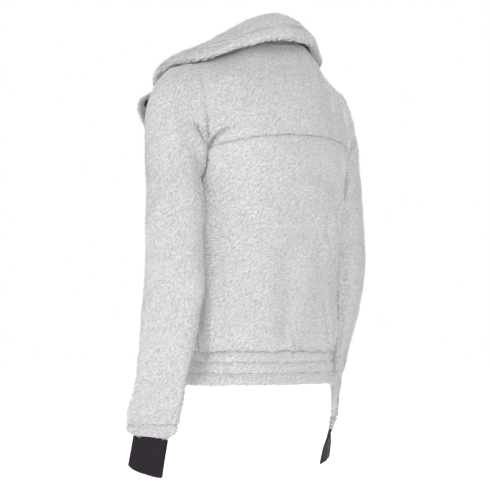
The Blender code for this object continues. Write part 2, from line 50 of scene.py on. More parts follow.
# Driving dimensions, in millimetres
HELD_HEIGHT = 540.0  # the held point, above the hem
HELD_DEPTH = 58.0  # and behind the middle of the body
WALL = 4.0  # fleece backing with its matted pile
BAND_WALL = 3.2  # the casing at the end of each sleeve
CUFF_WALL = 2.0  # flat knit
COLLAR_LAYER = 5.5  # each of the collar's two layers
LAPEL_WALL = 8.0  # both layers of the lapel
GAP = 0.3  # between pieces that are sewn together
ARMHOLE_GAP = 0.5  # the sleeve's first ring stands this far out, because the seam there is curved
SEAM = 0.0011  # half of a seam's gap, as a share of a panel
PAST_CORNER = 1.01  # panels are measured for their thickness this little further out, past the neck corner

WAISTBAND_HEIGHT = 53.0
ARMPIT_HEIGHT = 318.0
ARMHOLE_RISE = 94.5  # half of the armhole's height
ARMHOLE_BACK = 48.0
ARMHOLE_FRONT = 46.0
ARMHOLE_BOTTOM_X = 151.0
ARMHOLE_X = 167.0
YOKE_LEVEL = 1.365  # where the yoke seam meets the armhole
CLOSE_LEVEL = 1.72  # from here the panels close over the shoulder

NECK_SHARE = 0.46  # the share of the top edge that is neckline, the rest being shoulder seam
NECK_HALF_WIDTH = 68.0
NECK_POINT_HEIGHT = 555.0
NECK_POINT_DEPTH = 4.0
SHOULDER_DIP = 6.0  # how far the shoulder seam hollows between the neck and the sleeve
BACK_NECK = (62.0, 553.0)  # depth and height of the neckline at the centre back
FRONT_NECK = (78.0, 500.0)

OVERLAP = 0.07  # how far each front passes the centre, as a share of the front
BREAK_LEVEL = 1.15  # where the lapels begin to turn back
GORGE_LEVEL = 1.80  # where the collar ends and the lapel begins
LAPEL_LEVEL = 1.42  # where the lapels leave the fronts, clear of each other
LAPEL_LIFT = 5.0  # how far the foot of each lapel stands off the front that it turns over
CROSS_LEVEL = 1.34  # up to here the left front lies inside the right one

UP = np.array([0.0, 0.0, 1.0])
LEVEL_PART = np.array([1.0, 1.0, 0.0])  # times a vector, leaves its level part
SCREEN_RIGHT = np.array([-0.69, 0.724, 0.0])  # the photo's right, in the tables' frame
SCREEN_AWAY = np.array([-0.724, -0.69, 0.0])  # and away from whoever looks at the photo


class Table:
    """Rows with named columns, read as a smooth curve through the rows. The first column is the key."""

    def __init__(self, columns, rows):
        self.columns = columns.split()
        self.values = np.array(rows, float)
        self.keys = self.values[:, 0]
        self.slopes = np.gradient(self.values, self.keys, axis=0)

    def at(self, key):
        key = np.clip(np.asarray(key, float), self.keys[0], self.keys[-1])
        i = np.clip(np.searchsorted(self.keys, key, side="right") - 1, 0, len(self.keys) - 2)
        span = self.keys[i + 1] - self.keys[i]
        t = ((key - self.keys[i]) / span)[..., None]
        values = hermite(
            self.values[i], self.slopes[i] * span[..., None],
            self.values[i + 1], self.slopes[i + 1] * span[..., None], t,
        )
        return {name: values[..., n] for n, name in enumerate(self.columns)}


# The torso. Level 0 is the hem, 1 the armpit and 2 the shoulder line.
BODY = Table(
    "level mid_height back_depth front_depth half_width arc fullness",
    (
        (0.000, 0, 95, 98, 142, 90, 0.045),
        (0.167, 53, 94, 98, 139, 90, 0.045),
        (0.240, 76, 99, 103, 144, 90, 0.050),
        (0.400, 127, 101, 108, 146, 90, 0.050),
        (0.600, 191, 104, 117, 148, 90, 0.050),
        (0.800, 256, 110, 125, 150, 90, 0.055),
        (1.000, 327, 116, 130, 151, 90, 0.055),
        (1.180, 364, 119, 130, 151, 76, 0.045),
        (1.385, 405, 120, 127, 151, 68, 0.030),
        (1.560, 447, 116, 118, 151, 64, 0.015),
        (1.720, 489, 105, 104, 151, 60, 0.000),
        (1.900, 520, 88, 88, 151, 60, 0.000),
    ),
)

# The wearer's left sleeve from the shoulder down: each section's centre, its tilt (90 lies level), its two
# half sizes, how far its flat side is turned from facing sideways, and how much its front end is raised.
SLEEVE = Table(
    "key x y height tilt long short turn slant",
    (
        (1.0, 180.0, -3.0, 406, 15, 97.0, 46.0, 0, 0),
        (2.0, 191.5, -5.0, 389, 23, 91.0, 44.5, 0, 0),
        (3.0, 197.0, -4.0, 366, 32, 79.0, 43.5, 2, 0),
        (4.0, 198.5, -2.0, 339, 41, 66.0, 42.5, 8, 0),
        (5.0, 198.5, 1.5, 309, 51, 56.0, 42.0, 16, 0),
        (6.0, 198.5, 4.5, 277, 64, 49.5, 41.5, 26, 0),
        (7.0, 199.0, 7.0, 243, 78, 46.5, 40.5, 36, 0),
        (8.0, 200.0, 9.0, 200, 88, 47.5, 38.5, 42, 0),
        (9.0, 201.5, 7.5, 150, 90, 48.5, 32.5, 44, 0),
        (10.0, 203.5, 1.5, 100, 90, 46.5, 26.0, 44, 0),
        (11.0, 206.5, -7.0, 50, 90, 43.0, 18.5, 44, 0),
        (12.0, 209.0, -15.5, 0, 90, 40.0, 11.5, 44, 0),
        (13.0, 214.0, -21.5, -35, 90, 40.0, 9.0, 44, 0),
        (14.0, 215.5, -25.0, -60, 90, 39.5, 8.6, 44, 0),
    ),
)
SLEEVE_BAND = Table(
    "key x y height tilt long short turn slant",
    (
        (0.0, 215.5, -25.1, -60.5, 90, 39.5, 8.6, 44, 0.0),
        (1.0, 215.5, -26.5, -66, 90, 40.5, 9.4, 44, 1.0),
        (2.0, 214.5, -29.0, -74, 90, 38.0, 9.2, 44, 2.0),
        (3.0, 213.5, -31.0, -80, 90, 28.5, 8.0, 44, 3.0),
    ),
)
CUFF = Table(
    "key x y height tilt long short turn slant",
    (
        (0.0, 213.5, -31.1, -80.5, 90, 27.5, 7.0, 44, 3.0),
        (1.0, 212.5, -36.0, -98, 90, 27.0, 7.0, 44, 5.5),
        (2.0, 211.7, -41.5, -117, 90, 26.8, 7.3, 42, 8.0),
        (3.0, 211.2, -46.0, -134, 90, 27.0, 7.7, 40, 10.0),
    ),
)

# The collar, from its right front end (-1) round the back (0) to its left one (1). Roll is the top of the
# fold and rim the outer edge, both on the line between the two layers.
COLLAR = Table(
    "station roll_x roll_y roll_height rim_x rim_y rim_height",
    (
        (-1.00, -80, -86, 522, -130, -116, 491),
        (-0.90, -84, -66, 534, -150, -90, 505),
        (-0.76, -85, -34, 550, -157, -46, 520),
        (-0.58, -79, 14, 577, -134, 20, 533),
        (-0.42, -60, 42, 582, -86, 58, 552),
        (-0.22, -34, 63, 585, -46, 85, 558),
        (0.00, 0, 73, 590, 0, 97, 558),
        (0.22, 35, 62, 597, 48, 88, 556),
        (0.42, 61, 34, 586, 92, 62, 543),
        (0.58, 78, 0, 568, 141, 14, 521),
        (0.76, 85, -36, 548, 157, -48, 518),
        (0.90, 84, -66, 534, 150, -90, 505),
        (1.00, 80, -86, 522, 130, -116, 491),
    ),
)
COLLAR_NECK_STATION = 0.52  # where the collar passes the shoulder seam
COLLAR_STAND = 0.4  # the share of its width that stands up from the neck seam, before the roll
CORNER_EASE = 2.0  # extra gap there, where the neckline turns a corner

# The left lapel's outer edge, from the break (0) to the notch under the collar (1).
LAPEL = Table(
    "station edge_x edge_y edge_height",
    (
        (0.00, 36, -141, 384),
        (0.30, 84, -143, 398),
        (0.60, 126, -139, 422),
        (0.82, 150, -131, 456),
        (1.00, 132, -123, 479),
    ),
)


def hermite(p0, m0, p1, m1, t):
    """The smooth curve from p0 to p1 that leaves along m0 and arrives along m1."""
    t2 = t * t
    t3 = t2 * t
    return (2 * t3 - 3 * t2 + 1) * p0 + (t3 - 2 * t2 + t) * m0 + (3 * t2 - 2 * t3) * p1 + (t3 - t2) * m1


def ease(t):
    t = np.clip(t, 0, 1)
    return t * t * (3 - 2 * t)


def bell(distance, width):
    """1 at no distance, about a third at one width, and next to nothing past two."""
    return np.exp(-((distance / width) ** 2))


def stack(x, y, z):
    return np.stack(np.broadcast_arrays(x, y, z), axis=-1).astype(float)


def unit(v):
    return v / np.maximum(np.linalg.norm(v, axis=-1, keepdims=True), 1e-9)


def armhole(side, angle):
    """A point of the left armhole, where angle 0 is the shoulder tip and 180 the armpit.

    Side is 1 for the back and -1 for the front.
    """
    a = np.radians(angle)
    half = ARMHOLE_BACK if side > 0 else ARMHOLE_FRONT
    spread = ease((1 + np.cos(a)) / 1.1)
    x = ARMHOLE_BOTTOM_X + (ARMHOLE_X - ARMHOLE_BOTTOM_X) * spread
    return stack(x, side * half * np.sin(a), ARMPIT_HEIGHT + ARMHOLE_RISE * (1 + np.cos(a)))


def open_panel(side, across, level):
    """The torso below the level where it closes over the shoulders."""
    row = BODY.at(level)
    a = np.abs(across)
    turn = np.radians(row["arc"])
    below = stack(row["half_width"], 0 * level, np.minimum(level, 1) * ARMPIT_HEIGHT)
    above = armhole(side, (2 - np.maximum(level, 1)) * 180)
    edge = np.where((level > 1)[..., None], above, below)
    depth = row["back_depth"] if side > 0 else row["front_depth"]
    swell = 1 + row["fullness"] * np.sin(np.pi * np.clip(a, 0, 1)) ** 2
    x = np.sign(across) * edge[..., 0] * np.sin(a * turn) / np.sin(turn) * swell
    rise = (np.cos(a * turn) - np.cos(turn)) / (1 - np.cos(turn))
    edge_depth = np.abs(edge[..., 1])
    y = side * (edge_depth + (depth - edge_depth) * rise) * swell
    height = row["mid_height"] + (edge[..., 2] - row["mid_height"]) * a**2
    return stack(x, y, height)


def top_line(side, across):
    """The neckline and the shoulder seam, and the way each panel arrives there."""
    a = np.abs(across)
    sign = np.sign(across)
    neck_depth, neck_height = BACK_NECK if side > 0 else FRONT_NECK
    share = np.clip(a / NECK_SHARE, 0, 1)
    angle = share * math.pi / 2
    neck = stack(
        NECK_HALF_WIDTH * np.sin(angle),
        NECK_POINT_DEPTH + (side * neck_depth - NECK_POINT_DEPTH) * np.cos(angle),
        neck_height + (NECK_POINT_HEIGHT - neck_height) * share**2,
    )
    point = np.array([NECK_HALF_WIDTH, NECK_POINT_DEPTH, NECK_POINT_HEIGHT])
    tip = armhole(side, 0.0)
    along = np.clip((a - NECK_SHARE) / (1 - NECK_SHARE), 0, 1)[..., None]
    dip = np.array([0.0, 0.0, SHOULDER_DIP]) * np.sin(np.pi * along)
    line = np.where((a > NECK_SHARE)[..., None], point + (tip - point) * along - dip, neck)
    to_neck = unit(point - tip)
    over = np.array([0.0, -side, 0.0])
    lean = np.radians(45) * (1 - along)
    at_shoulder = over * np.cos(lean) + to_neck * np.sin(lean)
    at_back = unit(np.array([0.0, -side * 0.62, 0.78]))
    mix = ease(share)[..., None]
    at_neck = unit(at_back * (1 - mix) + at_shoulder * mix)
    arrive = np.where((a > NECK_SHARE)[..., None], at_shoulder, at_neck)
    mirror = stack(np.where(sign < 0, -1.0, 1.0), 1.0, 1.0)
    return line * mirror, arrive * mirror


def panel(side, across, level):
    """A point of the torso's outer face. Across runs from the middle (0) to the side or armhole (1 or -1)."""
    across, level = np.broadcast_arrays(np.asarray(across, float), np.asarray(level, float))
    low = open_panel(side, across, np.minimum(level, CLOSE_LEVEL))
    step = 0.004
    start = open_panel(side, across, np.full(level.shape, CLOSE_LEVEL))
    before = open_panel(side, across, np.full(level.shape, CLOSE_LEVEL - step))
    span = 2 - CLOSE_LEVEL
    top, arrive = top_line(side, across)
    reach = np.linalg.norm(top - start, axis=-1, keepdims=True)
    t = (np.maximum(level, CLOSE_LEVEL) - CLOSE_LEVEL)[..., None] / span
    closing = hermite(start, (start - before) / step * span, top, arrive * reach * 1.15, t)
    exact = armhole(side, (2 - np.clip(level, CLOSE_LEVEL, 2)) * 180)
    edge = np.ones(level.shape)
    edge_top, edge_arrive = top_line(side, edge)
    edge_start = open_panel(side, edge, np.full(level.shape, CLOSE_LEVEL))
    edge_before = open_panel(side, edge, np.full(level.shape, CLOSE_LEVEL - step))
    edge_reach = np.linalg.norm(edge_top - edge_start, axis=-1, keepdims=True)
    drawn = hermite(
        edge_start, (edge_start - edge_before) / step * span, edge_top, edge_arrive * edge_reach * 1.15, t
    )
    mirror = stack(np.where(across < 0, -1.0, 1.0), 1.0, 1.0)
    closing = closing + (np.abs(across) ** 6)[..., None] * (exact - drawn) * mirror
    return np.where((level > CLOSE_LEVEL)[..., None], closing, low)


def facing(surface, u, v):
    """The unit vector square to a surface, measured over small steps in both directions."""
    step = 0.0015
    along_u = surface(u + step, v) - surface(u - step, v)
    along_v = surface(u, v + step) - surface(u, v - step)
    return unit(np.cross(along_u, along_v))


def tuck(across, level):
    """How far the left front lies inside the right front near the centre."""
    near = ease((0.24 - across) / 0.10)
    below = 1 - ease((level - CROSS_LEVEL) / 0.12)
    return (WALL + GAP + 0.6) * near * below


def front_edge(level, side_sign):
    """Where a front ends at the centre: past it below the break, and at the roll line above it."""
    rise = np.clip((level - BREAK_LEVEL) / (2 - BREAK_LEVEL), 0, 1)
    return side_sign * (-OVERLAP + (NECK_SHARE + OVERLAP) * rise**1.15)


def front_point(across, level):
    """The fronts' outer face, where positive across is the wearer's left."""
    return panel(-1, across, level)


def front_facing(across, level):
    return facing(front_point, np.clip(across * PAST_CORNER, -1, 1), np.minimum(level, 2 - 0.004))


def waist_point(turn, height):
    """The waistband's outer face: turn 0 is the centre back and 1 the centre front, positive to the left."""
    level = height / ARMPIT_HEIGHT
    side_sign = np.where(turn < 0, -1.0, 1.0)
    back = panel(1, np.clip(turn, -0.5, 0.5) * 2, level)
    front = panel(-1, (1 - np.abs(turn)) * 2 * side_sign, level)
    return np.where((np.abs(turn) > 0.5)[..., None], front, back)


def collar_base(station):
    """Where the collar is sewn on, to the back and then to the fronts, and the way that it leaves."""
    s = np.abs(station)
    hand = np.where(station < 0, -1.0, 1.0)
    on_back = s <= COLLAR_NECK_STATION
    across = hand * NECK_SHARE * np.clip(s / COLLAR_NECK_STATION, 0, 1)
    back, arrive = top_line(1, across)
    share = np.clip((s - COLLAR_NECK_STATION) / (1 - COLLAR_NECK_STATION), 0, 1)
    level = 2 - (2 - GORGE_LEVEL) * share
    edge = front_edge(level, hand)
    front = front_point(edge, level)
    step = 0.02
    inside = front_point(edge - hand * step, np.minimum(level, 1.995))
    there = front_point(edge, np.minimum(level, 1.995))
    toward = unit(inside - there)
    point = np.where(on_back[..., None], back, front)
    way = np.where(on_back[..., None], arrive, toward)
    return point, unit(way * 0.7 + UP * 0.8)


def collar_path(station, across):
    """The line between the collar's layers, with across running from the neck seam (0) to the rim (1)."""
    station, across = np.broadcast_arrays(np.asarray(station, float), np.asarray(across, float))
    row = COLLAR.at(station)
    base, way = collar_base(station)
    roll = stack(row["roll_x"], row["roll_y"], row["roll_height"])
    rim = stack(row["rim_x"], row["rim_y"], row["rim_height"])
    at_corner = bell(np.abs(station) - COLLAR_NECK_STATION, 0.07)[..., None]
    base = base + way * (GAP + 0.5 + CORNER_EASE * at_corner)
    out = unit((rim - roll) * LEVEL_PART)
    stand = np.linalg.norm(roll - base, axis=-1, keepdims=True)
    fall = np.linalg.norm(rim - roll, axis=-1, keepdims=True)
    down = unit(unit(rim - roll) + np.array([0.0, 0.0, -0.55]))
    t_stand = np.clip(across / COLLAR_STAND, 0, 1)[..., None]
    t_fall = np.clip((across - COLLAR_STAND) / (1 - COLLAR_STAND), 0, 1)[..., None]
    rising = hermite(base, way * stand * 1.1, roll, out * stand * 0.5, t_stand)
    falling = hermite(roll, out * fall * 0.42, rim, down * fall * 0.9, t_fall)
    return np.where((across > COLLAR_STAND)[..., None], falling, rising)


def lapel_path(station, across):
    """The left lapel from the roll line (0) to its outer edge (1)."""
    station, across = np.broadcast_arrays(np.asarray(station, float), np.asarray(across, float))
    level = LAPEL_LEVEL + (GORGE_LEVEL - 0.02 - LAPEL_LEVEL) * station
    edge_share = front_edge(level, 1)
    start = front_point(edge_share, level)
    inside = front_point(edge_share - 0.02, level)
    toward = unit(inside - start)
    row = LAPEL.at(station)
    rim = stack(row["edge_x"], row["edge_y"], row["edge_height"])
    width = np.linalg.norm(rim - start, axis=-1, keepdims=True)
    outward = front_facing(edge_share, level)
    lift = LAPEL_LIFT * (1 - station) ** 5
    start = start + toward * (GAP + 0.7) + outward * lift[..., None]
    leave = unit(toward + outward * 0.35) * (14 + 0.35 * width)
    arrive = unit((rim - start) - outward * 0.25 * width) * width * 1.1
    return hermite(start, leave, rim, arrive, across[..., None])


def sleeve_ring(table, key, angle):
    """A point of the left sleeve. Angle 0 is the shoulder side, 90 the back and 180 the body side."""
    row = table.at(key)
    tilt = np.radians(row["tilt"])
    turn = np.radians(row["turn"])
    up = stack(np.sin(tilt), 0 * tilt, np.cos(tilt))
    back = np.array([0.0, 1.0, 0.0])
    long_way = up * np.cos(turn)[..., None] - back * np.sin(turn)[..., None]
    short_way = up * np.sin(turn)[..., None] + back * np.cos(turn)[..., None]
    centre = stack(row["x"], row["y"], row["height"])
    u = np.cos(angle)
    v = np.sin(angle)
    lift = stack(0 * u, 0 * u, row["slant"] * u)
    return centre + long_way * (row["long"] * u)[..., None] + short_way * (row["short"] * v)[..., None] + lift


def sleeve_point(key, angle):
    """The sleeve's outer face, which starts on the armhole (key 0) and follows the table from key 1."""
    key, angle = np.broadcast_arrays(np.asarray(key, float), np.asarray(angle, float))
    degrees = np.degrees(angle) % 360
    back = armhole(1, np.clip(degrees, 0, 180))
    front = armhole(-1, np.clip(360 - degrees, 0, 180))
    seam = np.where((degrees > 180)[..., None], front, back)
    seam = seam + np.array([ARMHOLE_GAP, 0.0, 0.0])
    lower = sleeve_ring(SLEEVE, np.maximum(key, 1), angle)
    ahead = sleeve_ring(SLEEVE, np.full(key.shape, 1.01), angle)
    first = sleeve_ring(SLEEVE, np.full(key.shape, 1.0), angle)
    leaving = np.array([14.0, 0.0, 0.0]) * (0.2 + 0.8 * (1 + np.cos(angle)) / 2)[..., None]
    cap = hermite(seam, leaving, first, (ahead - first) / 0.01, np.clip(key, 0, 1)[..., None])
    return np.where((key > 1)[..., None], lower, cap)


def to_frame(points):
    """Millimetres above the hem to metres from the held point."""
    return (points - np.array([0.0, HELD_DEPTH, HELD_HEIGHT])) * MM


# Folds that the photo shows, then quieter ones on the hidden sides. Each runs through its points; width and
# depth are of the trough, and ridge is how much of that depth rises beside it.
FOLDS = {
    "back": (
        (((161, 46, 374), (158, 52, 388), (151, 62, 400), (138, 76, 410)), 3.6, 6.8, 0.4),
        (((-162, 46, 374), (-157, 54, 390), (-148, 66, 400)), 4.0, 3.5, 0.4),
        (((-57, 106, 276), (-68, 100, 244), (-79, 95, 220), (-97, 84, 179)), 11.0, 4.2, 0.5),
        (((-62, 95, 137), (-71, 91, 104), (-88, 80, 60)), 9.0, 4.6, 0.5),
        (((-27, 75, 517), (35, 95, 466), (93, 88, 413)), 9.0, 1.8, 0.5),
        (((-31, 85, 495), (20, 103, 455), (67, 100, 419)), 7.0, 1.5, 0.5),
        (((30, 108, 226), (31, 100, 152), (30, 96, 92), (8, 97, 60)), 20.0, 2.8, 0.5),
        (((14, 97, 84), (4, 96, 66), (0, 95, 52)), 6.5, 6.0, 0.5),
        (((-138, 40, 330), (-140, 38, 260), (-136, 40, 190)), 9.0, 3.0, 0.4),
        (((138, 40, 330), (140, 38, 262), (138, 36, 170)), 9.0, 2.6, 0.4),
        (((90, 92, 150), (104, 80, 96), (112, 68, 56)), 13.0, 2.2, 0.4),
        (((-20, 112, 350), (-70, 108, 330), (-110, 92, 322)), 16.0, 1.8, 0.4),
    ),
    "front": (
        (((-120, -72, 360), (-92, -98, 330), (-66, -116, 318)), 12.0, 3.0, 0.5),
        (((122, -70, 356), (96, -96, 322), (74, -112, 306)), 12.0, 3.4, 0.5),
        (((-60, -112, 210), (-72, -104, 140), (-66, -102, 70)), 16.0, 2.6, 0.5),
        (((66, -110, 226), (84, -98, 150), (80, -94, 72)), 15.0, 2.8, 0.5),
        (((20, -112, 120), (26, -106, 84), (34, -100, 56)), 8.0, 2.4, 0.5),
        (((-132, -36, 300), (-136, -34, 220), (-132, -36, 120)), 11.0, 2.8, 0.4),
        (((132, -36, 290), (136, -34, 210), (130, -38, 110)), 11.0, 2.6, 0.4),
    ),
    "sleeve_left": (
        (((189, 40, 413), (181, 43, 404), (172, 43, 390), (162, 44, 376)), 3.4, 4.0, 0.5),
        (((196, 44, 396), (184, 46, 386), (170, 45, 372)), 3.0, 2.6, 0.5),
        (((231, -4, 460), (225, 8, 468), (214, 20, 466)), 7.0, 1.5, 0.4),
        (((193, 45, 306), (184, 44, 300), (174, 40, 295)), 3.0, 2.6, 0.4),
        (((243, 6, 200), (236, 24, 199), (226, 36, 202)), 2.6, 1.8, 0.3),
        (((166, 30, 330), (186, 46, 318), (206, 46, 312)), 8.0, 1.4, 0.5),
        (((168, -20, 352), (184, -42, 340), (204, -44, 334)), 7.0, 4.0, 0.5),
        (((164, 8, 262), (176, 36, 240), (200, 48, 226)), 12.0, 2.0, 0.4),
        (((166, -12, 210), (180, -36, 196), (204, -42, 190)), 9.0, 3.4, 0.5),
        (((170, 12, 172), (190, 36, 152), (216, 32, 146)), 12.0, 2.2, 0.4),
        (((232, -24, 96), (222, 6, 70), (200, 22, 58)), 10.0, 2.0, 0.4),
        (((238, -38, 20), (222, -14, 8), (200, 6, 4)), 8.0, 3.2, 0.4),
        (((226, -26, -36), (222, -22, -46), (220, -18, -58)), 7.0, 1.4, 0.4),
    ),
    "sleeve_right": (
        (((-213, 32, 420), (-200, 38, 410), (-186, 41, 397), (-170, 44, 380)), 4.0, 4.4, 0.5),
        (((-178, 38, 364), (-176, 36, 340), (-168, 34, 310)), 5.0, 3.6, 0.5),
        (((-231, -4, 452), (-224, 10, 460), (-212, 24, 458)), 5.0, 2.0, 0.4),
        (((-168, -20, 350), (-184, -42, 336), (-204, -44, 328)), 7.0, 4.0, 0.5),
        (((-164, 8, 254), (-178, 38, 238), (-202, 48, 228)), 11.0, 2.4, 0.4),
        (((-166, -12, 204), (-182, -37, 188), (-206, -42, 184)), 9.0, 3.2, 0.5),
        (((-170, 12, 164), (-192, 35, 146), (-216, 31, 138)), 11.0, 2.4, 0.4),
        (((-238, -36, 30), (-222, -12, 14), (-200, 6, 6)), 9.0, 1.8, 0.4),
    ),
    "collar": (
        (((-30, 82, 570), (-36, 92, 562), (-38, 98, 556)), 9.0, 1.6, 0.4),
        (((112, 30, 548), (128, 22, 536), (140, 20, 526)), 10.0, 2.0, 0.4),
        (((-118, 20, 556), (-130, 22, 544), (-138, 24, 534)), 10.0, 2.0, 0.4),
        (((150, -60, 530), (156, -66, 520), (160, -72, 510)), 9.0, 1.8, 0.4),
    ),
}

CREASE_REACH = 3.2  # folds are followed out to this many widths
SHARP_FOLD = 6.0  # folds narrower than this part the pile along their lines

# How far each piece's cut edges dip where they are sewn, and how far in from the seam that is felt
SEAM_DIP = 2.0
SEAM_REACH = 2.3
SEAM_LAP = 1.1  # how far a sewn edge reaches under its neighbour
INNER_MARK = 0.4  # how much of a line's painted shade shows on a piece's inner face
LIP_MARK = 0.8  # how much painted shade darkens the sewn edges where they meet

# The shells' faces lie this far inside the solids', so that the pile on them ends near the solids' faces
NAP_DEPTH = 1.3


def grid_normals(points, closed):
    """The outward direction at every point of a grid of points."""
    if closed:
        wide = np.concatenate([points[:, -1:], points, points[:, :1]], axis=1)
        across = wide[:, 2:] - wide[:, :-2]
    else:
        across = np.gradient(points, axis=1)
    along = np.gradient(points, axis=0)
    return unit(np.cross(across, along))


def arc_length(points, axis):
    """How far along its row or column each point lies."""
    steps = np.linalg.norm(np.diff(points, axis=axis), axis=-1)
    start = np.zeros_like(np.take(steps, [0], axis=axis))
    return np.concatenate([start, np.cumsum(steps, axis=axis)], axis=axis)


def waver(points, size, seed):
    """A smooth random swell between -1 and 1, about as wide as size."""
    rng = np.random.default_rng(seed)
    total = np.zeros(points.shape[:-1])
    for _ in range(6):
        way = unit(rng.normal(size=3)) * 2 * math.pi / (size * rng.uniform(0.8, 2.2))
        total += np.sin(points @ way + rng.uniform(0, 2 * math.pi))
    return total / 3.2


def fold_depth(points, folds):
    """How far the folds move each point, troughs down and ridges up, and the shade painted along their lines.
    """
    moved = np.zeros(points.shape[:-1])
    mark = np.zeros(points.shape[:-1])
    for path, width, depth, ridge in folds:
        path = np.array(path, float)
        best = np.full(points.shape[:-1], 1e9)
        where = np.zeros(points.shape[:-1])
        lengths = np.linalg.norm(np.diff(path, axis=0), axis=1)
        before = np.concatenate([[0.0], np.cumsum(lengths)])
        for n in range(len(path) - 1):
            step = path[n + 1] - path[n]
            t = np.clip(((points - path[n]) @ step) / (step @ step), 0, 1)
            gap = np.linalg.norm(points - path[n] - t[..., None] * step, axis=-1)
            nearer = gap < best
            best = np.where(nearer, gap, best)
            where = np.where(nearer, (before[n] + t * lengths[n]) / before[-1], where)
        taper = np.clip(np.sin(math.pi * np.clip(0.08 + 0.84 * where, 0, 1)) * 1.6, 0, 1)
        far = best / width
        trough = np.exp(-(far**2))
        rise = ridge * np.exp(-((far - 1.9) ** 2) / 0.8)
        moved += depth * (rise - trough) * taper * (far < CREASE_REACH)
        # narrow folds get painted shade along their troughs
        if width < SHARP_FOLD:
            mark = np.maximum(mark, taper * bell(best, 0.55 * width))
    return moved, mark


def seam_profile(distance):
    """The dip of a sewn edge, with the slight rise beside it that the seam allowance makes."""
    x = distance / SEAM_REACH
    return -SEAM_DIP * np.exp(-(x**2)) + 0.34 * SEAM_DIP * np.exp(-((x - 2.1) ** 2) / 0.8)


def rounded(distance, radius):
    """How far a free edge is rounded off."""
    x = np.clip(1 - distance / radius, 0, 1)
    return radius * (1 - np.sqrt(1 - 0.96 * x**2))


class Cloth:
    """A piece of cloth as two grids of points, and how its edges end.

    Edges name what happens at the first row, last row, first column and last column: seam, free or none. Pull
    is how tightly its seams are drawn in, from 0 to 1. Mark is the painted shade in the pile along seams and
    creases, where the pile is also thinned, and trim is the share of the pile's length that is left.
    """

    def __init__(self, name, points, thickness, edges=("none",) * 4, closed=False, outward=1.0, pull=1.0):
        self.name = name
        self.base = points
        self.closed = closed
        self.outward = outward
        self.thickness = thickness
        self.normals = grid_normals(points, closed) * outward
        self.across = arc_length(points, 1)
        self.along = arc_length(points, 0)
        self.outer_move = np.zeros(points.shape[:-1])
        self.inner_move = np.zeros(points.shape[:-1])
        self.mark = np.zeros(points.shape[:-1])
        self.trim = np.ones(points.shape[:-1])
        self.laps = [SEAM_LAP if kind == "seam" else 0.0 for kind in edges]
        along, across = self.along, self.across
        for kind, distance in zip(edges, (along, along[-1:] - along, across, across[:, -1:] - across)):
            if kind == "seam":
                self.outer_move += seam_profile(distance) * pull
                self.inner_move += 0.25 * seam_profile(distance) * pull
                # painted shade along the seam's groove
                self.mark = np.maximum(self.mark, 0.65 * bell(distance, 1.2) * pull)
            if kind == "free":
                self.outer_move -= rounded(distance, thickness * 0.5)
                self.inner_move += rounded(distance, thickness * 0.5)

    def fold(self, folds):
        moved, mark = fold_depth(self.base, folds)
        self.mark = np.maximum(self.mark, mark)
        self.outer_move += moved
        self.inner_move += 0.8 * moved

    def shift(self, amount):
        """Moves the whole wall out by an amount."""
        self.outer_move += amount
        self.inner_move += amount

    def raise_by(self, amount):
        """Moves the whole wall up by an amount."""
        self.base = self.base + UP * amount[..., None]

    def swell(self, size, height, seed):
        """Uneven swells about as wide as size."""
        moved = height * waver(self.base, size, seed)
        self.outer_move += moved
        self.inner_move += 0.7 * moved

    def finish(self, nap=NAP_DEPTH):
        """Works out the two faces from the moves, the outer one as far in as the nap on it is deep."""
        self.outer = self.base + self.normals * (self.outer_move - nap)[..., None]
        inward = self.thickness - self.inner_move
        self.inner = self.base - self.normals * inward[..., None]
        self.outer_normals = grid_normals(self.outer, self.closed) * self.outward
        self.inner_normals = -grid_normals(self.inner, self.closed) * self.outward
        return self

    def flat_size(self):
        """Its width and length when laid flat, in metres, and its area, on the middle of its wall."""
        middle = (self.outer + self.inner) / 2
        if self.closed:
            middle = np.concatenate([middle, middle[:, :1]], axis=1)
        width = float(np.max(arc_length(middle, 1)[:, -1])) * MM
        length = float(np.max(arc_length(middle, 0)[-1])) * MM
        steps = np.cross(np.diff(middle, axis=1)[:-1], np.diff(middle, axis=0)[:, :-1])
        area = float(np.linalg.norm(steps, axis=-1).sum()) * MM * MM
        return width, length, min(area, width * length)


def new_mesh(name, vertices, faces, material):
    """A mesh from arrays, whose faces all have as many corners as faces has columns."""
    mesh = bpy.data.meshes.new(name)
    corners = faces.shape[1]
    mesh.vertices.add(len(vertices))
    mesh.vertices.foreach_set("co", np.ascontiguousarray(vertices, np.float32).ravel())
    mesh.loops.add(faces.size)
    mesh.loops.foreach_set("vertex_index", np.ascontiguousarray(faces, np.int32).ravel())
    mesh.polygons.add(len(faces))
    mesh.polygons.foreach_set("loop_start", np.arange(0, faces.size, corners, dtype=np.int32))
    mesh.polygons.foreach_set("use_smooth", np.full(len(faces), True))
    mesh.materials.append(material)
    mesh.update(calc_edges=True)
    mesh.validate()
    item = bpy.data.objects.new(name, mesh)
    bpy.context.scene.collection.objects.link(item)
    return item


def add_uv(item, per_vertex):
    """The cloth's own measures as its UV map, in metres."""
    mesh = item.data
    layer = mesh.uv_layers.new(name="cloth")
    index = np.empty(len(mesh.loops), np.int32)
    mesh.loops.foreach_get("vertex_index", index)
    layer.data.foreach_set("uv", np.ascontiguousarray(per_vertex[index], np.float32).ravel())


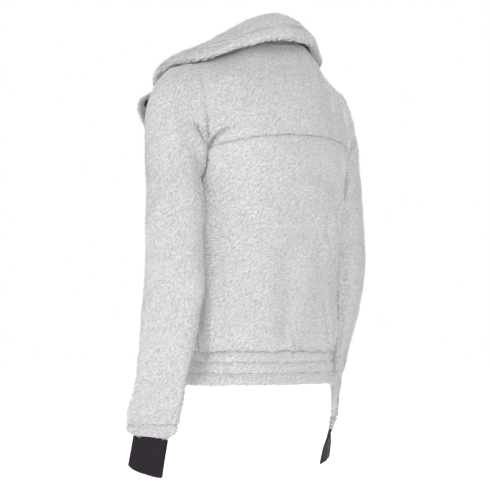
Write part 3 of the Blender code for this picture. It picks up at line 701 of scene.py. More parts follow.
def shell(cloth, material, node):
    """The closed shell of a cloth, standing in for its CAD node. Sewn edges reach under their neighbours."""
    rows, columns = cloth.outer.shape[:2]
    count = rows * columns
    ids = np.arange(count).reshape(rows, columns)
    turn = np.roll(ids, -1, axis=1) if cloth.closed else ids[:, 1:]
    first = ids if cloth.closed else ids[:, :-1]
    outer = np.stack([first[:-1], turn[:-1], turn[1:], first[1:]], axis=-1).reshape(-1, 4)
    uv = np.stack([cloth.across, cloth.along], axis=-1)
    uv = uv.reshape(-1, 2)
    vertices = [cloth.outer.reshape(-1, 3), cloth.inner.reshape(-1, 3)]
    maps = [uv, uv]
    marks = [cloth.mark.ravel(), INNER_MARK * cloth.mark.ravel()]
    faces = [outer, outer[:, ::-1] + count]
    middle = (cloth.outer + cloth.inner) / 2
    sides = [
        (ids[0], middle[0] - middle[1], cloth.laps[0], cloth.closed, False),
        (ids[-1], middle[-1] - middle[-2], cloth.laps[1], cloth.closed, True),
    ]
    if not cloth.closed:
        sides.append((ids[:, 0], middle[:, 0] - middle[:, 1], cloth.laps[2], False, True))
        sides.append((ids[:, -1], middle[:, -1] - middle[:, -2], cloth.laps[3], False, False))
    total = 2 * count
    flat_middle = middle.reshape(-1, 3)
    for line, away, lap, ring, swap in sides:
        vertices.append(flat_middle[line] + unit(away) * lap)
        maps.append(uv[line])
        marks.append(np.full(len(line), LIP_MARK))
        lip = np.arange(total, total + len(line))
        total += len(line)
        here, there = (line, np.roll(line, -1)) if ring else (line[:-1], line[1:])
        lip_here, lip_there = (lip, np.roll(lip, -1)) if ring else (lip[:-1], lip[1:])
        upper = np.stack([there, here, lip_here, lip_there], axis=-1)
        lower = np.stack([lip_there, lip_here, here + count, there + count], axis=-1)
        if swap:
            upper, lower = upper[:, ::-1], lower[:, ::-1]
        faces += [upper, lower]
    faces = np.concatenate(faces)
    if cloth.outward < 0:
        faces = faces[:, ::-1]
    item = new_mesh(cloth.name, to_frame(np.concatenate(vertices)), faces, material)
    add_uv(item, np.concatenate(maps) * MM)
    # painted shade along seams, creases and sewn edges, and under the collar's rim, as the crease layer
    painted_shade = np.concatenate(marks)
    colours = np.stack([painted_shade, painted_shade, painted_shade, np.ones_like(painted_shade)], axis=-1)
    layer = item.data.color_attributes.new("crease", "FLOAT_COLOR", "POINT")
    layer.data.foreach_set("color", np.ascontiguousarray(colours, np.float32).ravel())
    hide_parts(node)
    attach(item, "root")
    return item


# The pile. Tufts are short flat locks along the nap, which lies down and to the left for whoever faces the
# cloth.
TUFT_LENGTH = 6.2
SHORT_TUFTS = 0.75  # the share of that length on the lapels and the sleeve bands
TUFT_WIDTH = 1.35
TUFT_RISE = 1.75
TUFT_SPACING = 2.3
STUD_CLEARANCE = 9.5  # no tuft grows nearer than this to a stud's middle
LINE_THINNING = 1.25  # how much thinner the pile is on the lines of seams and creases
NAP_ANGLE = 38  # how far the nap lies below the level, in degrees
NAP_TURNS = (24, 22, 11)  # how far it turns over wide patches, over small ones and from tuft to tuft
STROKE_WIDTHS = (4.5, 9.5)
STROKE_LENGTHS = (16, 40)
SHADE = 0.78  # the tufts' brightness before their unevenness


def strokes(place, points, seed):
    """Wavy strokes along the nap, between -1 and 1, from places measured to the right and up on the cloth."""
    rng = np.random.default_rng(seed)
    lie = math.radians(NAP_ANGLE)
    bent = 6.0 * waver(points, 60, seed + 1) + 1.3 * waver(points, 15, seed + 2)
    along = place @ [math.cos(lie), math.sin(lie)]
    across = place @ [-math.sin(lie), math.cos(lie)] + bent
    total = np.zeros(len(place))
    for _ in range(6):
        narrow, wide = rng.uniform(*STROKE_WIDTHS), rng.uniform(*STROKE_LENGTHS) * rng.choice([-1, 1])
        total += np.sin(2 * math.pi * (across / narrow + along / wide) + rng.uniform(0, 2 * math.pi))
    return np.clip(total / 2.6, -1, 1)


def tufts(cloth, grids, material, seed, clear, length):
    """Locks of pile scattered over some of a cloth's faces, as one mesh, but not round the clear points."""
    rng = np.random.default_rng(seed)
    points, normals, marks, bends, trims, measures, tangents = [], [], [], [], [], [], []
    for grid, out in grids:
        mark, trim = cloth.mark, cloth.trim
        if cloth.closed:
            grid, out, mark, trim = (np.concatenate([a, a[:, :1]], axis=1) for a in (grid, out, mark, trim))
        turning = np.linalg.norm(np.gradient(out, axis=1), axis=-1)
        bend = turning / np.linalg.norm(np.gradient(grid, axis=1), axis=-1)
        edge_u = np.diff(grid, axis=1)[:-1]
        edge_v = np.diff(grid, axis=0)[:, :-1]
        area = np.linalg.norm(np.cross(edge_u, edge_v), axis=-1)
        count = np.floor(area / TUFT_SPACING**2 + rng.random(area.shape)).astype(int)
        r, c = np.nonzero(count)
        times = count[r, c]
        r, c = np.repeat(r, times), np.repeat(c, times)
        s, t = rng.random(len(r)), rng.random(len(r))

        def between(values):
            left, up = (s, t) if values.ndim == 2 else (s[:, None], t[:, None])
            low = values[r, c] * (1 - left) + values[r, c + 1] * left
            high = values[r + 1, c] * (1 - left) + values[r + 1, c + 1] * left
            return low * (1 - up) + high * up

        points.append(between(grid))
        normals.append(unit(between(out)))
        marks.append(between(mark))
        bends.append(between(np.minimum(bend, 0.2)))
        trims.append(between(trim))
        measures.append(between(np.stack([arc_length(grid, 1), arc_length(grid, 0)], axis=-1)))
        tangents.append(np.stack([edge_u[r, c], edge_v[r, c]], axis=1))
    root = np.concatenate(points)
    out = np.concatenate(normals)
    mark = np.concatenate(marks)
    bend = np.concatenate(bends)
    trim = np.concatenate(trims)
    measure = np.concatenate(measures)
    tangent = np.concatenate(tangents)
    kept = rng.random(len(root)) > LINE_THINNING * mark
    for middle in clear:
        kept &= np.linalg.norm(root - middle, axis=1) > STUD_CLEARANCE
    root, out, mark, bend = root[kept], out[kept], mark[kept], bend[kept, None]
    trim, measure, tangent = trim[kept, None], measure[kept], tangent[kept]
    n = len(root)
    right = unit(np.cross(UP, out) + [1e-6, 0.0, 0.0])
    up = np.cross(out, right)
    wide_turn, small_turn, own_turn = NAP_TURNS
    turn = wide_turn * waver(root, 70, seed + 1) + small_turn * waver(root, 16, seed + 2)
    turn = turn + rng.normal(0, own_turn, n)
    lie = np.radians(NAP_ANGLE + turn)
    way = -right * np.cos(lie)[:, None] - up * np.sin(lie)[:, None]
    side = np.cross(out, way)
    grows = [np.mean(np.sum(tangent[:, m] * w, axis=1)) for m, w in ((0, right), (1, up))]
    place = measure * np.sign(grows)
    combed = strokes(place, root, seed + 3)
    wave = 0.5 + 0.5 * combed
    long = (length * rng.uniform(0.7, 1.25, n))[:, None] * trim
    rise = (TUFT_RISE * rng.uniform(0.5, 1.15, n) * (0.8 + 0.35 * wave) * (1 - 0.6 * mark))[:, None] * trim
    wide = (TUFT_WIDTH * rng.uniform(0.75, 1.3, n))[:, None]
    curl = rng.normal(0, 0.16, n)[:, None] * long
    spine = (
        root - out * 0.5,
        root + way * long * 0.52 + out * rise + side * curl * 0.3,
        root + way * long + out * (rise * 0.5 - 0.35 * bend * long**2) + side * curl,
    )
    half = (wide * 0.4, wide * 0.5)
    rings = [np.stack([p - side * h, p + side * h], axis=1) for p, h in zip(spine[:2], half)]
    vertices = np.concatenate(rings + [spine[2][:, None]], axis=1).reshape(-1, 3)
    first = np.arange(n)[:, None] * 5
    corners = np.array([[0, 1, 3], [0, 3, 2], [2, 3, 4]])
    faces = (first[:, None] + corners[None]).reshape(-1, 3)
    item = new_mesh(cloth.name + "_pile", to_frame(vertices), faces, material)
    # painted light and shade: tufts on raised strokes are paler, and on cloth facing right, away from the
    # light, they vary more and so come out darker; the rest is random tone
    unevenness_and_side_shade = 1 + 0.35 * (out @ SCREEN_RIGHT)  # more so on cloth that faces the photo's right
    shade = SHADE + unevenness_and_side_shade * (0.10 * combed - rng.gamma(1.1, 0.18, n)) + 0.03 * waver(root, 3.4, seed + 4)
    shade += 0.04 * waver(root, 24, seed + 5)
    # painted shade: each tuft's colour darkens toward its root by this height
    height = np.array([0.0, 0.0, 0.7, 0.7, 1.0])[None]  # how far up its tuft each corner is
    shade, mark = shade[:, None], mark[:, None]
    colours = np.stack(np.broadcast_arrays(height, shade, mark, 1.0), axis=-1)
    layer = item.data.color_attributes.new("pile", "FLOAT_COLOR", "POINT")
    layer.data.foreach_set("color", np.ascontiguousarray(colours, np.float32).ravel())
    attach(item, "root")
    return item


def steps(*spans):
    """Grid positions from (start, stop, count) spans, each without its stop, and the last stop at the end."""
    parts = [np.linspace(start, stop, count, endpoint=False) for start, stop, count in spans]
    return np.concatenate(parts + [[spans[-1][1]]])


EDGE = 0.026  # share of a panel that its edge rows cover


def edged(start, stop, count):
    """Evenly spread positions with finer steps at each end, where a seam or a rounded edge is."""
    span = stop - start
    return steps(
        (start, start + span * EDGE, 5), (start + span * EDGE, stop - span * EDGE, count),
        (stop - span * EDGE, stop, 5),
    )


def in_line(around):
    """Places on a straight line, for a waver that runs round a piece."""
    return np.stack([around, 0 * around, 0 * around], axis=-1)


WAIST_RADIUS = 140  # turns an angle round the body into about a length
GATHER_DIPS = ((2.2, 80, 13), (1.8, -88, 9))  # depth, place from the centre back to the left, and width


def gathered(points):
    """The wandering of the seam between the panels and the waistband, as a change of height."""
    around = np.arctan2(points[..., 0], points[..., 1]) * WAIST_RADIUS
    line = in_line(around)
    near = bell(points[..., 2] - WAISTBAND_HEIGHT, 7)
    dips = sum(depth * bell(around - place, width) for depth, place, width in GATHER_DIPS)
    return near * (1.5 * waver(line, 26, 5) + 0.9 * waver(line, 11, 6) - dips)


def puckers(points, depth, seed):
    """Short upright wrinkles where cloth is drawn in by elastic or a gathered seam."""
    squeezed = points * np.array([1.0, 1.0, 0.28])
    wave = waver(squeezed, 9, seed) * 0.6 + waver(squeezed, 16, seed + 1) * 0.6
    patch = np.clip(0.55 + 0.6 * waver(points, 70, seed + 2), 0.12, 1)
    return depth * wave * patch


def shoulder_top(points):
    """1 over the shoulders' crests, beside the armholes, and 0 below them."""
    return ease((points[..., 2] - 385) / 70) * ease((np.abs(points[..., 0]) - 110) / 20)


def seam_pull(points):
    """Seams are drawn in below the shoulders' crests and lie flat over them."""
    return 1 - 0.9 * shoulder_top(points)


def bridge(points, from_seam):
    """The soft filling of the valley where a sleeve is set into the shoulder."""
    return 3.6 * bell(from_seam, 9) * shoulder_top(points)


FLAT_TURN = 43.0  # the way in which the left sleeve's end is flat, from +Y toward +X, in degrees


def flatten(points, share):
    """Rings pressed flatter in the left sleeve's place: share is what is left of the thickness of each."""
    thin = np.array([math.sin(math.radians(FLAT_TURN)), math.cos(math.radians(FLAT_TURN)), 0.0])
    middle = points.mean(axis=1, keepdims=True)
    depth = (points - middle) @ thin
    return points + thin * (depth * (share - 1))[..., None]


def twisted(points, degrees):
    """Rings turned about their own middles, seen from above and against the clock."""
    middle = points.mean(axis=1, keepdims=True)
    x, y, z = np.moveaxis(points - middle, -1, 0)
    cosine, sine = np.cos(np.radians(degrees)), np.sin(np.radians(degrees))
    return middle + np.stack([x * cosine - y * sine, x * sine + y * cosine, z], axis=-1)


RIGHT_SHOULDER_INSET = 3.2


def slimmer_shoulder(cloth):
    """The wearer's right shoulder lies a little closer than the left one."""
    x, z = cloth.base[..., 0], cloth.base[..., 2]
    faces = np.clip(cloth.normals @ unit(SCREEN_RIGHT + 0.5 * UP), 0, 1)
    share = ease((z - 395) / 35) * (1 - ease((z - 520) / 20)) * ease((-x - 50) / 30)
    cloth.shift(-RIGHT_SHOULDER_INSET * faces**2 * share)


def seam_wander(points, from_seam):
    """The unevenness of the seam between a sleeve and its end band, as a change of height."""
    flat = points * LEVEL_PART
    return (1.1 * waver(flat, 16, 97) + 0.7 * waver(flat, 7, 98)) * bell(from_seam, 8)


def collar_roll(points):
    """The yoke swells against the collar's fall, most behind the wearer's right shoulder."""
    x, y, z = points[..., 0], points[..., 1], points[..., 2]
    near = ease((z - 505) / 35) * ease((y - 20) / 30)
    return near * (3.0 + 6.5 * bell(x + 24, 34))


def against_sleeve(points, start=8, reach=18):
    """The back swells where the hanging sleeves press on it, so that the valleys beside them are shallow.

    The swell begins at start, measured toward the back from the body's middle, and is full after reach.
    """
    x, y, z = points[..., 0], points[..., 1], points[..., 2]
    beside = ease((np.abs(x) * 0.69 - y * 0.724 - 58) / 16) * ease((y - start) / reach)
    chest = 4.0 * bell(z - 325, 45) * (x < 0)
    return (5.5 + chest) * beside * ease((385 - z) / 25)


def make_panels():
    """Back, yoke and fronts."""
    start = WAISTBAND_HEIGHT / ARMPIT_HEIGHT + SEAM
    low = start + 0.03  # rows lie closer together up to here
    pieces = []
    back_across = edged(-1 + SEAM, 1 - SEAM, 96)
    spans = (
        ("back_panel", steps((start, low, 5), (low, 1.31, 66), (1.31, YOKE_LEVEL - SEAM, 9))),
        ("back_yoke", steps((YOKE_LEVEL + SEAM, 1.42, 9), (1.42, 1.96, 48), (1.96, 2 - SEAM, 6))),
    )
    for node, levels in spans:
        level, across = np.meshgrid(levels, back_across, indexing="ij")
        points = panel(1, across, level)
        cloth = Cloth(node + "_fleece", points, WALL, ("seam",) * 4, outward=-1.0, pull=seam_pull(points))
        cloth.outer_move += collar_roll(points)
        cloth.shift(against_sleeve(points))
        cloth.outer_move += bridge(points, np.minimum(cloth.across, cloth.across[:, -1:] - cloth.across))
        pieces.append((node, cloth, FOLDS["back"]))
    below = steps((start, low, 5), (low, 1.0, 46), (1.0, BREAK_LEVEL, 8))
    levels = np.concatenate([below, steps((BREAK_LEVEL + 0.02, 1.96, 44), (1.96, 2 - SEAM, 4))])
    for node, hand in (("front_left", 1.0), ("front_right", -1.0)):
        level, share = np.meshgrid(levels, edged(0, 1, 44), indexing="ij")
        edge = front_edge(level, hand)
        across = edge + (hand * (1 - SEAM) - edge) * share
        points = panel(-1, across, level)
        if hand > 0:
            points = points - front_facing(across, level) * tuck(across, level)[..., None]
        edges = ("seam", "seam", "free", "seam")
        cloth = Cloth(node + "_fleece", points, WALL, edges, outward=hand, pull=seam_pull(points))
        cloth.outer_move += bridge(points, cloth.across[:, -1:] - cloth.across)
        pieces.append((node, cloth, FOLDS["front"]))
    for node, cloth, folds in pieces:
        slimmer_shoulder(cloth)
        cloth.fold(folds)
        cloth.swell(120, 1.6, 11)
        cloth.swell(38, 0.5, 12)
        over_band = np.clip(1 - (cloth.base[..., 2] - WAISTBAND_HEIGHT) / 34, 0, 1)
        cloth.outer_move += puckers(cloth.base, 1.5, 21) * over_band
        cloth.raise_by(gathered(cloth.base))
    return [(node, cloth) for node, cloth, folds in pieces]


WAIST_LINES = (0.0, 19.5, 37.0, WAISTBAND_HEIGHT - GAP)  # its hem, its two rows of stitches and its seam
WAIST_SPREAD = 760  # how far half a turn is spread out for its wavers


def make_waistband():
    """The band all round, stitched into three channels over its elastic."""
    past = OVERLAP / 2
    turns = edged(1 + past, -1 - past, 230)
    channels = tuple(zip(WAIST_LINES, WAIST_LINES[1:]))
    rows = [steps((a, a + 3, 3), (a + 3, b - 3, 4), (b - 3, b, 3))[:-1] for a, b in channels]
    heights = np.concatenate(rows + [[WAIST_LINES[-1]]])
    height, turn = np.meshgrid(heights, turns, indexing="ij")
    points = waist_point(turn, height)
    near = waist_point(turn + 0.004, height) - waist_point(turn - 0.004, height)
    out = unit(np.cross(near, UP) * -1)
    points = points - out * tuck((1 - turn) * 2, height * 0)[..., None]
    line = in_line(turn * WAIST_SPREAD)
    broken = np.clip(0.5 + 0.5 * waver(line, 7, 57), 0.1, 1)
    edges = ("free", "seam", "free", "free")
    cloth = Cloth("waistband_fleece", points, WALL, edges, outward=1.0, pull=broken)
    for n, level in enumerate(WAIST_LINES[1:-1]):
        wander = level + 0.9 * waver(line, 24, 31 + n) + 0.6 * waver(line, 9, 41 + n)
        strength = np.clip(0.8 + 0.4 * waver(line, 30, 51 + n), 0.35, 1.2)
        cloth.outer_move += 0.6 * strength * seam_profile(np.abs(height - wander))
        # painted shade in the grooves of the two stitched lines, broken into dots and varying in strength
        dots = np.clip(0.6 + 0.6 * waver(line, 5, 55 + n), 0.1, 1)
        cloth.mark = np.maximum(cloth.mark, 0.85 * strength * dots * bell(np.abs(height - wander), 1.0))
        cloth.trim = cloth.trim - 0.5 * np.clip(strength, 0, 1) * bell(height - wander - 1.8, 3.2)
    for n, (a, b) in enumerate(channels):
        inside = np.clip((height - a) / (b - a), 0, 1)
        belly = np.sin(np.pi * inside) ** 0.7 * ((height >= a) & (height <= b))
        cloth.outer_move += belly * 0.8
        cloth.outer_move += belly * puckers(points + np.array([0, 0, 40.0 * n]), 1.1, 61 + 3 * n)
    at_seam = against_sleeve(points)
    at_hem = against_sleeve(points, start=-40, reach=50)
    cloth.shift(at_seam + (at_hem - at_seam) * np.clip(1 - height / 46, 0, 1))
    corner = np.exp(-((points[..., 0] + 137) / 16) ** 2 - ((points[..., 1] - 20) / 24) ** 2)
    cloth.outer_move += 5.0 * corner * np.clip(1 - height / 26, 0, 1)  # the hem's corner at the photo's right
    cloth.raise_by(gathered(cloth.base))
    hem = np.clip(1 - height / 20, 0, 1)
    cloth.raise_by(hem * (1.2 * waver(line, 90, 71)))
    return cloth


SLEEVE_SIDE = unit(np.array([0.69, -0.72, 0.25]))  # the left sleeve's outer side, at the photo's left
SLEEVE_INSET = 5.4  # how far that side of each sleeve lies inside its solid, near the shoulder
RING_ANGLES = np.linspace(0, 2 * math.pi, 64, endpoint=False)


def make_sleeve(hand, side):
    """A sleeve, pressed flatter toward its end. Side is 1 for the left one and -1 for the right one."""
    mirror = np.array([side, 1.0, 1.0])
    keys = steps((0.0, 0.12, 3), (0.12, 1.0, 7), (1.0, 8.0, 68), (8.0, 13.9, 70), (13.9, 14.0, 3))
    key, angle = np.meshgrid(keys, RING_ANGLES, indexing="ij")
    thinned = 1 - 0.38 * ease((key - 10) / 3.6)
    points = flatten(sleeve_point(key, angle), thinned) * mirror
    height = points[..., 2]
    name = f"sleeve_{hand}_fleece"
    edges = ("seam", "seam", "none", "none")
    cloth = Cloth(name, points, WALL, edges, closed=True, outward=-side, pull=seam_pull(points))
    cloth.laps[:2] = [5.0, 3.0]
    faces_out = unit(cloth.normals @ np.diag(mirror)) @ SLEEVE_SIDE
    high = ease((height - 250) / 90)
    cloth.shift(-SLEEVE_INSET * np.clip(faces_out, 0, 1) ** 0.7 * high)
    cloth.outer_move += bridge(points, cloth.along)
    faces_right = np.clip(cloth.normals @ SCREEN_RIGHT, 0, 1)
    cloth.outer_move += 5.5 * faces_right * bell(height - 316, 52) * (side > 0)
    edge_on = np.abs(np.cos(angle)) ** 3
    cloth.outer_move += 4.0 * edge_on * bell(height + 36, 30)
    slimmer_shoulder(cloth)
    cloth.raise_by(seam_wander(points, cloth.along[-1:] - cloth.along))
    cloth.fold(FOLDS["sleeve_" + hand])
    cloth.swell(90, 1.7, 81 + int(side))
    cloth.swell(34, 0.5, 84 + int(side))
    low = np.clip(1 - (cloth.base[..., 2] + 60) / 60, 0, 1)
    cloth.outer_move += puckers(cloth.base, 1.1, 86) * low
    underarm = bell(np.degrees(angle) - 180, 7) * np.clip((key - 1.5) / 1.5, 0, 1)
    cloth.outer_move -= 1.8 * underarm
    return cloth


def make_sleeve_band(hand, side):
    """The casing at a sleeve's end, pressed flatter toward the cuff."""
    keys = steps((0.0, 0.25, 4), (0.25, 2.8, 9), (2.8, 3.0, 3))
    key, angle = np.meshgrid(keys, RING_ANGLES, indexing="ij")
    points = flatten(sleeve_ring(SLEEVE_BAND, key, angle), 0.62 - 0.12 * key) * np.array([side, 1.0, 1.0])
    name = f"sleeve_band_{hand}_fleece"
    edges = ("seam", "free", "none", "none")
    band = Cloth(name, points, BAND_WALL, edges, closed=True, outward=-side, pull=0.9)
    band.raise_by(seam_wander(points, band.along))
    band.outer_move += puckers(band.base, 1.0, 91) * np.clip(key, 0, 1)
    band.outer_move += 2.6 * np.abs(np.cos(angle)) ** 3 * (1 - key * 0.7)
    band.outer_move += waver(points * LEVEL_PART, 7, 93) * np.clip(key - 2, 0, 1)
    return band


# How the right cuff hangs at its lower end, against the left one: thinner, turned about its middle, its far
# side lower by a share of its width, and aside to the photo's right
RIGHT_CUFF_THINNING = 0.35
RIGHT_CUFF_TURN = -15.0
RIGHT_CUFF_DROP = 0.13
RIGHT_CUFF_ASIDE = 1.8
CUFF_HALF_WIDTH = 27


def hang_right_cuff(points, key):
    """Rings of a left cuff, as the mirrored right one needs them."""
    mirror = np.array([-1.0, 1.0, 1.0])
    points = flatten(points, 1 - RIGHT_CUFF_THINNING * ease(key / 2.8))
    points = twisted(points * mirror, RIGHT_CUFF_TURN * ease(key / 2.0)) * mirror
    far = (points - points.mean(axis=1, keepdims=True)) @ (SCREEN_AWAY * mirror)
    width = np.clip(CUFF_HALF_WIDTH + far, 0, 2 * CUFF_HALF_WIDTH)
    points[..., 2] -= RIGHT_CUFF_DROP * width * ease((key - 1) / 2)
    points += SCREEN_RIGHT * mirror * (RIGHT_CUFF_ASIDE * ease(key / 3))[..., None]
    return points


def make_cuff(hand, side):
    """A flat knit cuff, whose lower edge hangs deepest between its two folded sides."""
    keys = steps((0.0, 2.85, 22), (2.85, 3.0, 4))
    angles = np.linspace(0, 2 * math.pi, 88, endpoint=False)
    key, angle = np.meshgrid(keys, angles, indexing="ij")
    points = flatten(sleeve_ring(CUFF, key, angle), 0.28 + 0.72 * ease(key / 2.8))
    front = -points[..., 1] + points[..., 0] * 0.3
    front = (front - front.min(axis=1, keepdims=True)) / np.ptp(front, axis=1, keepdims=True)
    corner = np.clip(np.sin(math.pi * np.clip(front, 0, 1) ** 1.25), 0, 1) ** 0.5
    points[..., 2] -= np.clip((key - 1.5) / 1.5, 0, 1) ** 2 * (5.6 if side > 0 else 1.2) * corner
    if side < 0:
        points = hang_right_cuff(points, key)
    points = points * np.array([side, 1.0, 1.0])
    edges = ("none", "free", "none", "none")
    cuff = Cloth(f"cuff_{hand}_knit", points, CUFF_WALL, edges, closed=True, outward=-side)
    cuff.outer_move += 0.5 * waver(in_line(angle * 30), 14, 95) * np.clip(key, 0, 1)
    return cuff


def make_sleeves():
    """Both sleeves with the casing at their ends, and the knit cuffs."""
    pieces = []
    for hand, side in (("left", 1.0), ("right", -1.0)):
        pieces.append((f"sleeve_{hand}", make_sleeve(hand, side)))
        pieces.append((f"sleeve_band_{hand}", make_sleeve_band(hand, side)))
        pieces.append((f"cuff_{hand}", make_cuff(hand, side)))
    return pieces


RIM_BAND = 21.0  # the stitched band along the collar's rim
COLLAR_INSET = 4.6  # how far the collar's side at the photo's right lies inside its solid


def make_collar():
    """The collar's two layers, which meet round its rim, with a line of stitches set in from it."""
    stations = edged(-1, 1, 150)
    shares = steps((0.0, 0.36, 14), (0.36, 0.5, 12), (0.5, 0.94, 30), (0.94, 1.0, 9))
    share, station = np.meshgrid(shares, stations, indexing="ij")
    line = collar_path(station, share)
    far = ease((line @ SCREEN_RIGHT - 48) / 34)
    line = line - SCREEN_RIGHT * (COLLAR_INSET * far)[..., None]
    out = facing(collar_path, np.clip(station, -0.998, 0.998), np.clip(share, 0.002, 0.998))
    along = arc_length(line, 0)
    from_rim = along[-1:] - along
    across = arc_length(line, 1)
    from_end = np.minimum(across, across[:, -1:] - across)
    pieces = []
    for node, side in (("collar_upper", 1.0), ("collar_under", -1.0)):
        near = line + side * out * GAP / 2
        cloth = Cloth(node + "_fleece", near + side * out * COLLAR_LAYER, COLLAR_LAYER, outward=1.0)
        cloth.normals = side * out
        cloth.outward = side
        stitched = seam_profile(np.abs(from_rim - RIM_BAND)) * (1.0 if side > 0 else 0.5)
        band = 1.5 * bell(from_rim - 11, 7)
        cloth.outer_move += stitched + band
        cloth.outer_move -= rounded(from_rim, COLLAR_LAYER + 1.5)
        cloth.outer_move -= rounded(from_end, COLLAR_LAYER)
        cloth.outer_move += 0.7 * waver(line, 40, 101) + 0.4 * waver(line, 17, 102)
        if side < 0:
            cloth.outer_move += 3.0 * far * ease(from_rim / 6)
            # painted shadow under the rim: the underside darkens away from its rim, from further in toward
            # the right end
            cloth.mark = np.maximum(cloth.mark, 0.85 * ease((from_rim - 1.5 - 6.5 * far) / 4))
        cloth.fold(FOLDS["collar"])
        pieces.append((node, cloth))
    return pieces


LAPEL_CORNER = np.array([147.0, -132.0, 466.0])  # the left lapel's outer corner
LAPEL_CORNER_MOVE = np.array([0.9, -1.0, 3.8])  # from its solid to where the photo shows it


def make_lapels():
    """The turned-back tops of the fronts, thick at the rim like the collar."""
    stations = edged(0, 1, 44)
    shares = edged(0, 1, 30)
    share, station = np.meshgrid(shares, stations, indexing="ij")
    line = lapel_path(station, share)
    out = facing(lapel_path, np.clip(station, 0.002, 0.998), np.clip(share, 0.002, 0.998))
    if np.mean(out[..., 1]) > 0:
        out = -out
    half = LAPEL_WALL / 2
    pieces = []
    for hand, side in (("left", 1.0), ("right", -1.0)):
        mirror = np.array([side, 1.0, 1.0])
        points = (line + out * half) * mirror
        corner = np.exp(-(((points - LAPEL_CORNER) ** 2).sum(axis=-1) / 17**2))
        points = points + LAPEL_CORNER_MOVE * corner[..., None]
        cloth = Cloth(f"lapel_{hand}_fleece", points, LAPEL_WALL, outward=1.0)
        cloth.normals = out * mirror
        flip = np.sign(np.sum(grid_normals(points, False) * cloth.normals))
        cloth.outward = float(flip)
        along, across = cloth.along, cloth.across
        from_rim = along[-1:] - along
        for distance in (from_rim, across, across[:, -1:] - across):
            cloth.outer_move -= rounded(distance, half - 1)
            cloth.inner_move += rounded(distance, half - 1)
        stitched = seam_profile(np.abs(from_rim - RIM_BAND))
        cloth.outer_move += stitched * 0.8
        cloth.inner_move += stitched * -0.6
        cloth.swell(40, 0.7, 111 + int(side))
        pieces.append((f"lapel_{hand}", cloth))
    return pieces


# A press stud's cap, from its foot to its middle: radius and height off the cloth.
STUD_PROFILE = (
    (6.6, 0.0), (7.4, 0.5), (7.5, 1.3), (7.1, 2.2), (6.3, 2.8),
    (5.5, 2.9), (5.0, 2.5), (4.2, 2.4), (2.4, 2.7), (0.6, 2.8),
)
STUD_TURNS = 40


def make_stud(node, material):
    """A turned cap with a raised rim, on the place and facing of its CAD node. Gives back its middle."""
    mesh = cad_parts[node].data
    points = np.array([v.co[:] for v in mesh.vertices]) / MM
    middle = points.mean(axis=0)
    _, _, axes = np.linalg.svd(points - middle)
    out = axes[2]
    heights = (points - middle) @ out
    radii = np.linalg.norm(points - middle - heights[:, None] * out, axis=1)
    if radii[heights > 0].max() > radii[heights <= 0].max():
        out, heights = -out, -heights
    foot = middle + out * heights.min()
    side = unit(np.cross(out, UP))
    up = np.cross(side, out)
    turns = np.linspace(0, 2 * math.pi, STUD_TURNS, endpoint=False)
    circle = side * np.cos(turns)[:, None] + up * np.sin(turns)[:, None]
    rings = [foot + out * height + circle * radius for radius, height in STUD_PROFILE]
    count = len(rings)
    vertices = np.concatenate(rings + [[foot + out * STUD_PROFILE[-1][1]], [foot]])
    ids = np.arange(count * STUD_TURNS).reshape(count, STUD_TURNS)
    turn = np.roll(ids, -1, axis=1)
    sides = np.stack([ids[:-1], ids[1:], turn[1:], turn[:-1]], axis=-1).reshape(-1, 4)
    triangles = np.concatenate([sides[:, [0, 1, 2]], sides[:, [0, 2, 3]]])
    top, bottom = count * STUD_TURNS, count * STUD_TURNS + 1
    cap = np.stack([ids[-1], np.full(STUD_TURNS, top), turn[-1]], axis=-1)
    base = np.stack([turn[0], np.full(STUD_TURNS, bottom), ids[0]], axis=-1)
    item = new_mesh(node + "_cap", vertices * MM, np.concatenate([triangles, cap, base]), material)
    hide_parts(node)
    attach(item, "root")
    return middle + np.array([0.0, HELD_DEPTH, HELD_HEIGHT])


class Wire:
    """A value in a finish's nodes. Sums written on it become Math nodes."""

    def __init__(self, finish, socket):
        self.finish = finish
        self.socket = socket

    def maths(self, operation, first, second):
        return self.finish.node("Math", {"operation": operation}, {0: first, 1: second})

    def __add__(self, other):
        return self.maths("ADD", self, other)

    def __radd__(self, other):
        return self.maths("ADD", other, self)

    def __sub__(self, other):
        return self.maths("SUBTRACT", self, other)

    def __mul__(self, other):
        return self.maths("MULTIPLY", self, other)


class Finish:
    """A material and its nodes. Constants are set on the shader's own sockets."""

    def __init__(self, name, **constants):
        self.material = bpy.data.materials.new(name)
        self.material.use_nodes = True
        self.tree = self.material.node_tree
        self.shader = self.tree.nodes["Principled BSDF"]
        for socket, value in constants.items():
            self.shader.inputs[socket.replace("_", " ")].default_value = value

    def feed(self, socket, value):
        if isinstance(value, Wire):
            self.tree.links.new(value.socket, socket)
        else:
            socket.default_value = value

    def node(self, kind, settings=None, inputs=None, output=0):
        """Adds a node: its settings first, with stops for a ramp, then the values or links of its sockets."""
        node = self.tree.nodes.new("ShaderNode" + kind)
        for key, value in (settings or {}).items():
            if key == "stops":
                for n, (place, colour) in enumerate(value):
                    stop = node.color_ramp.elements[n] if n < 2 else node.color_ramp.elements.new(place)
                    stop.position = place
                    stop.color = colour
            else:
                setattr(node, key, value)
        for key, value in (inputs or {}).items():
            self.feed(node.inputs[key], value)
        return Wire(self, node.outputs[output])

    def surface(self, **links):
        for socket, value in links.items():
            self.feed(self.shader.inputs[socket.replace("_", " ")], value)
        return self.material


def noise(finish, vector, scale, detail=2.0, roughness=0.5, distortion=0.0):
    return finish.node("TexNoise", None, {
        "Vector": vector, "Scale": scale, "Detail": detail, "Roughness": roughness, "Distortion": distortion,
    })


def turned(finish, vector, degrees, scale):
    """Cloth measures turned to lie along the nap and stretched, so that a noise on them makes strokes."""
    return finish.node("Mapping", None, {
        "Vector": vector, "Rotation": (0.0, 0.0, math.radians(degrees)), "Scale": scale,
    })


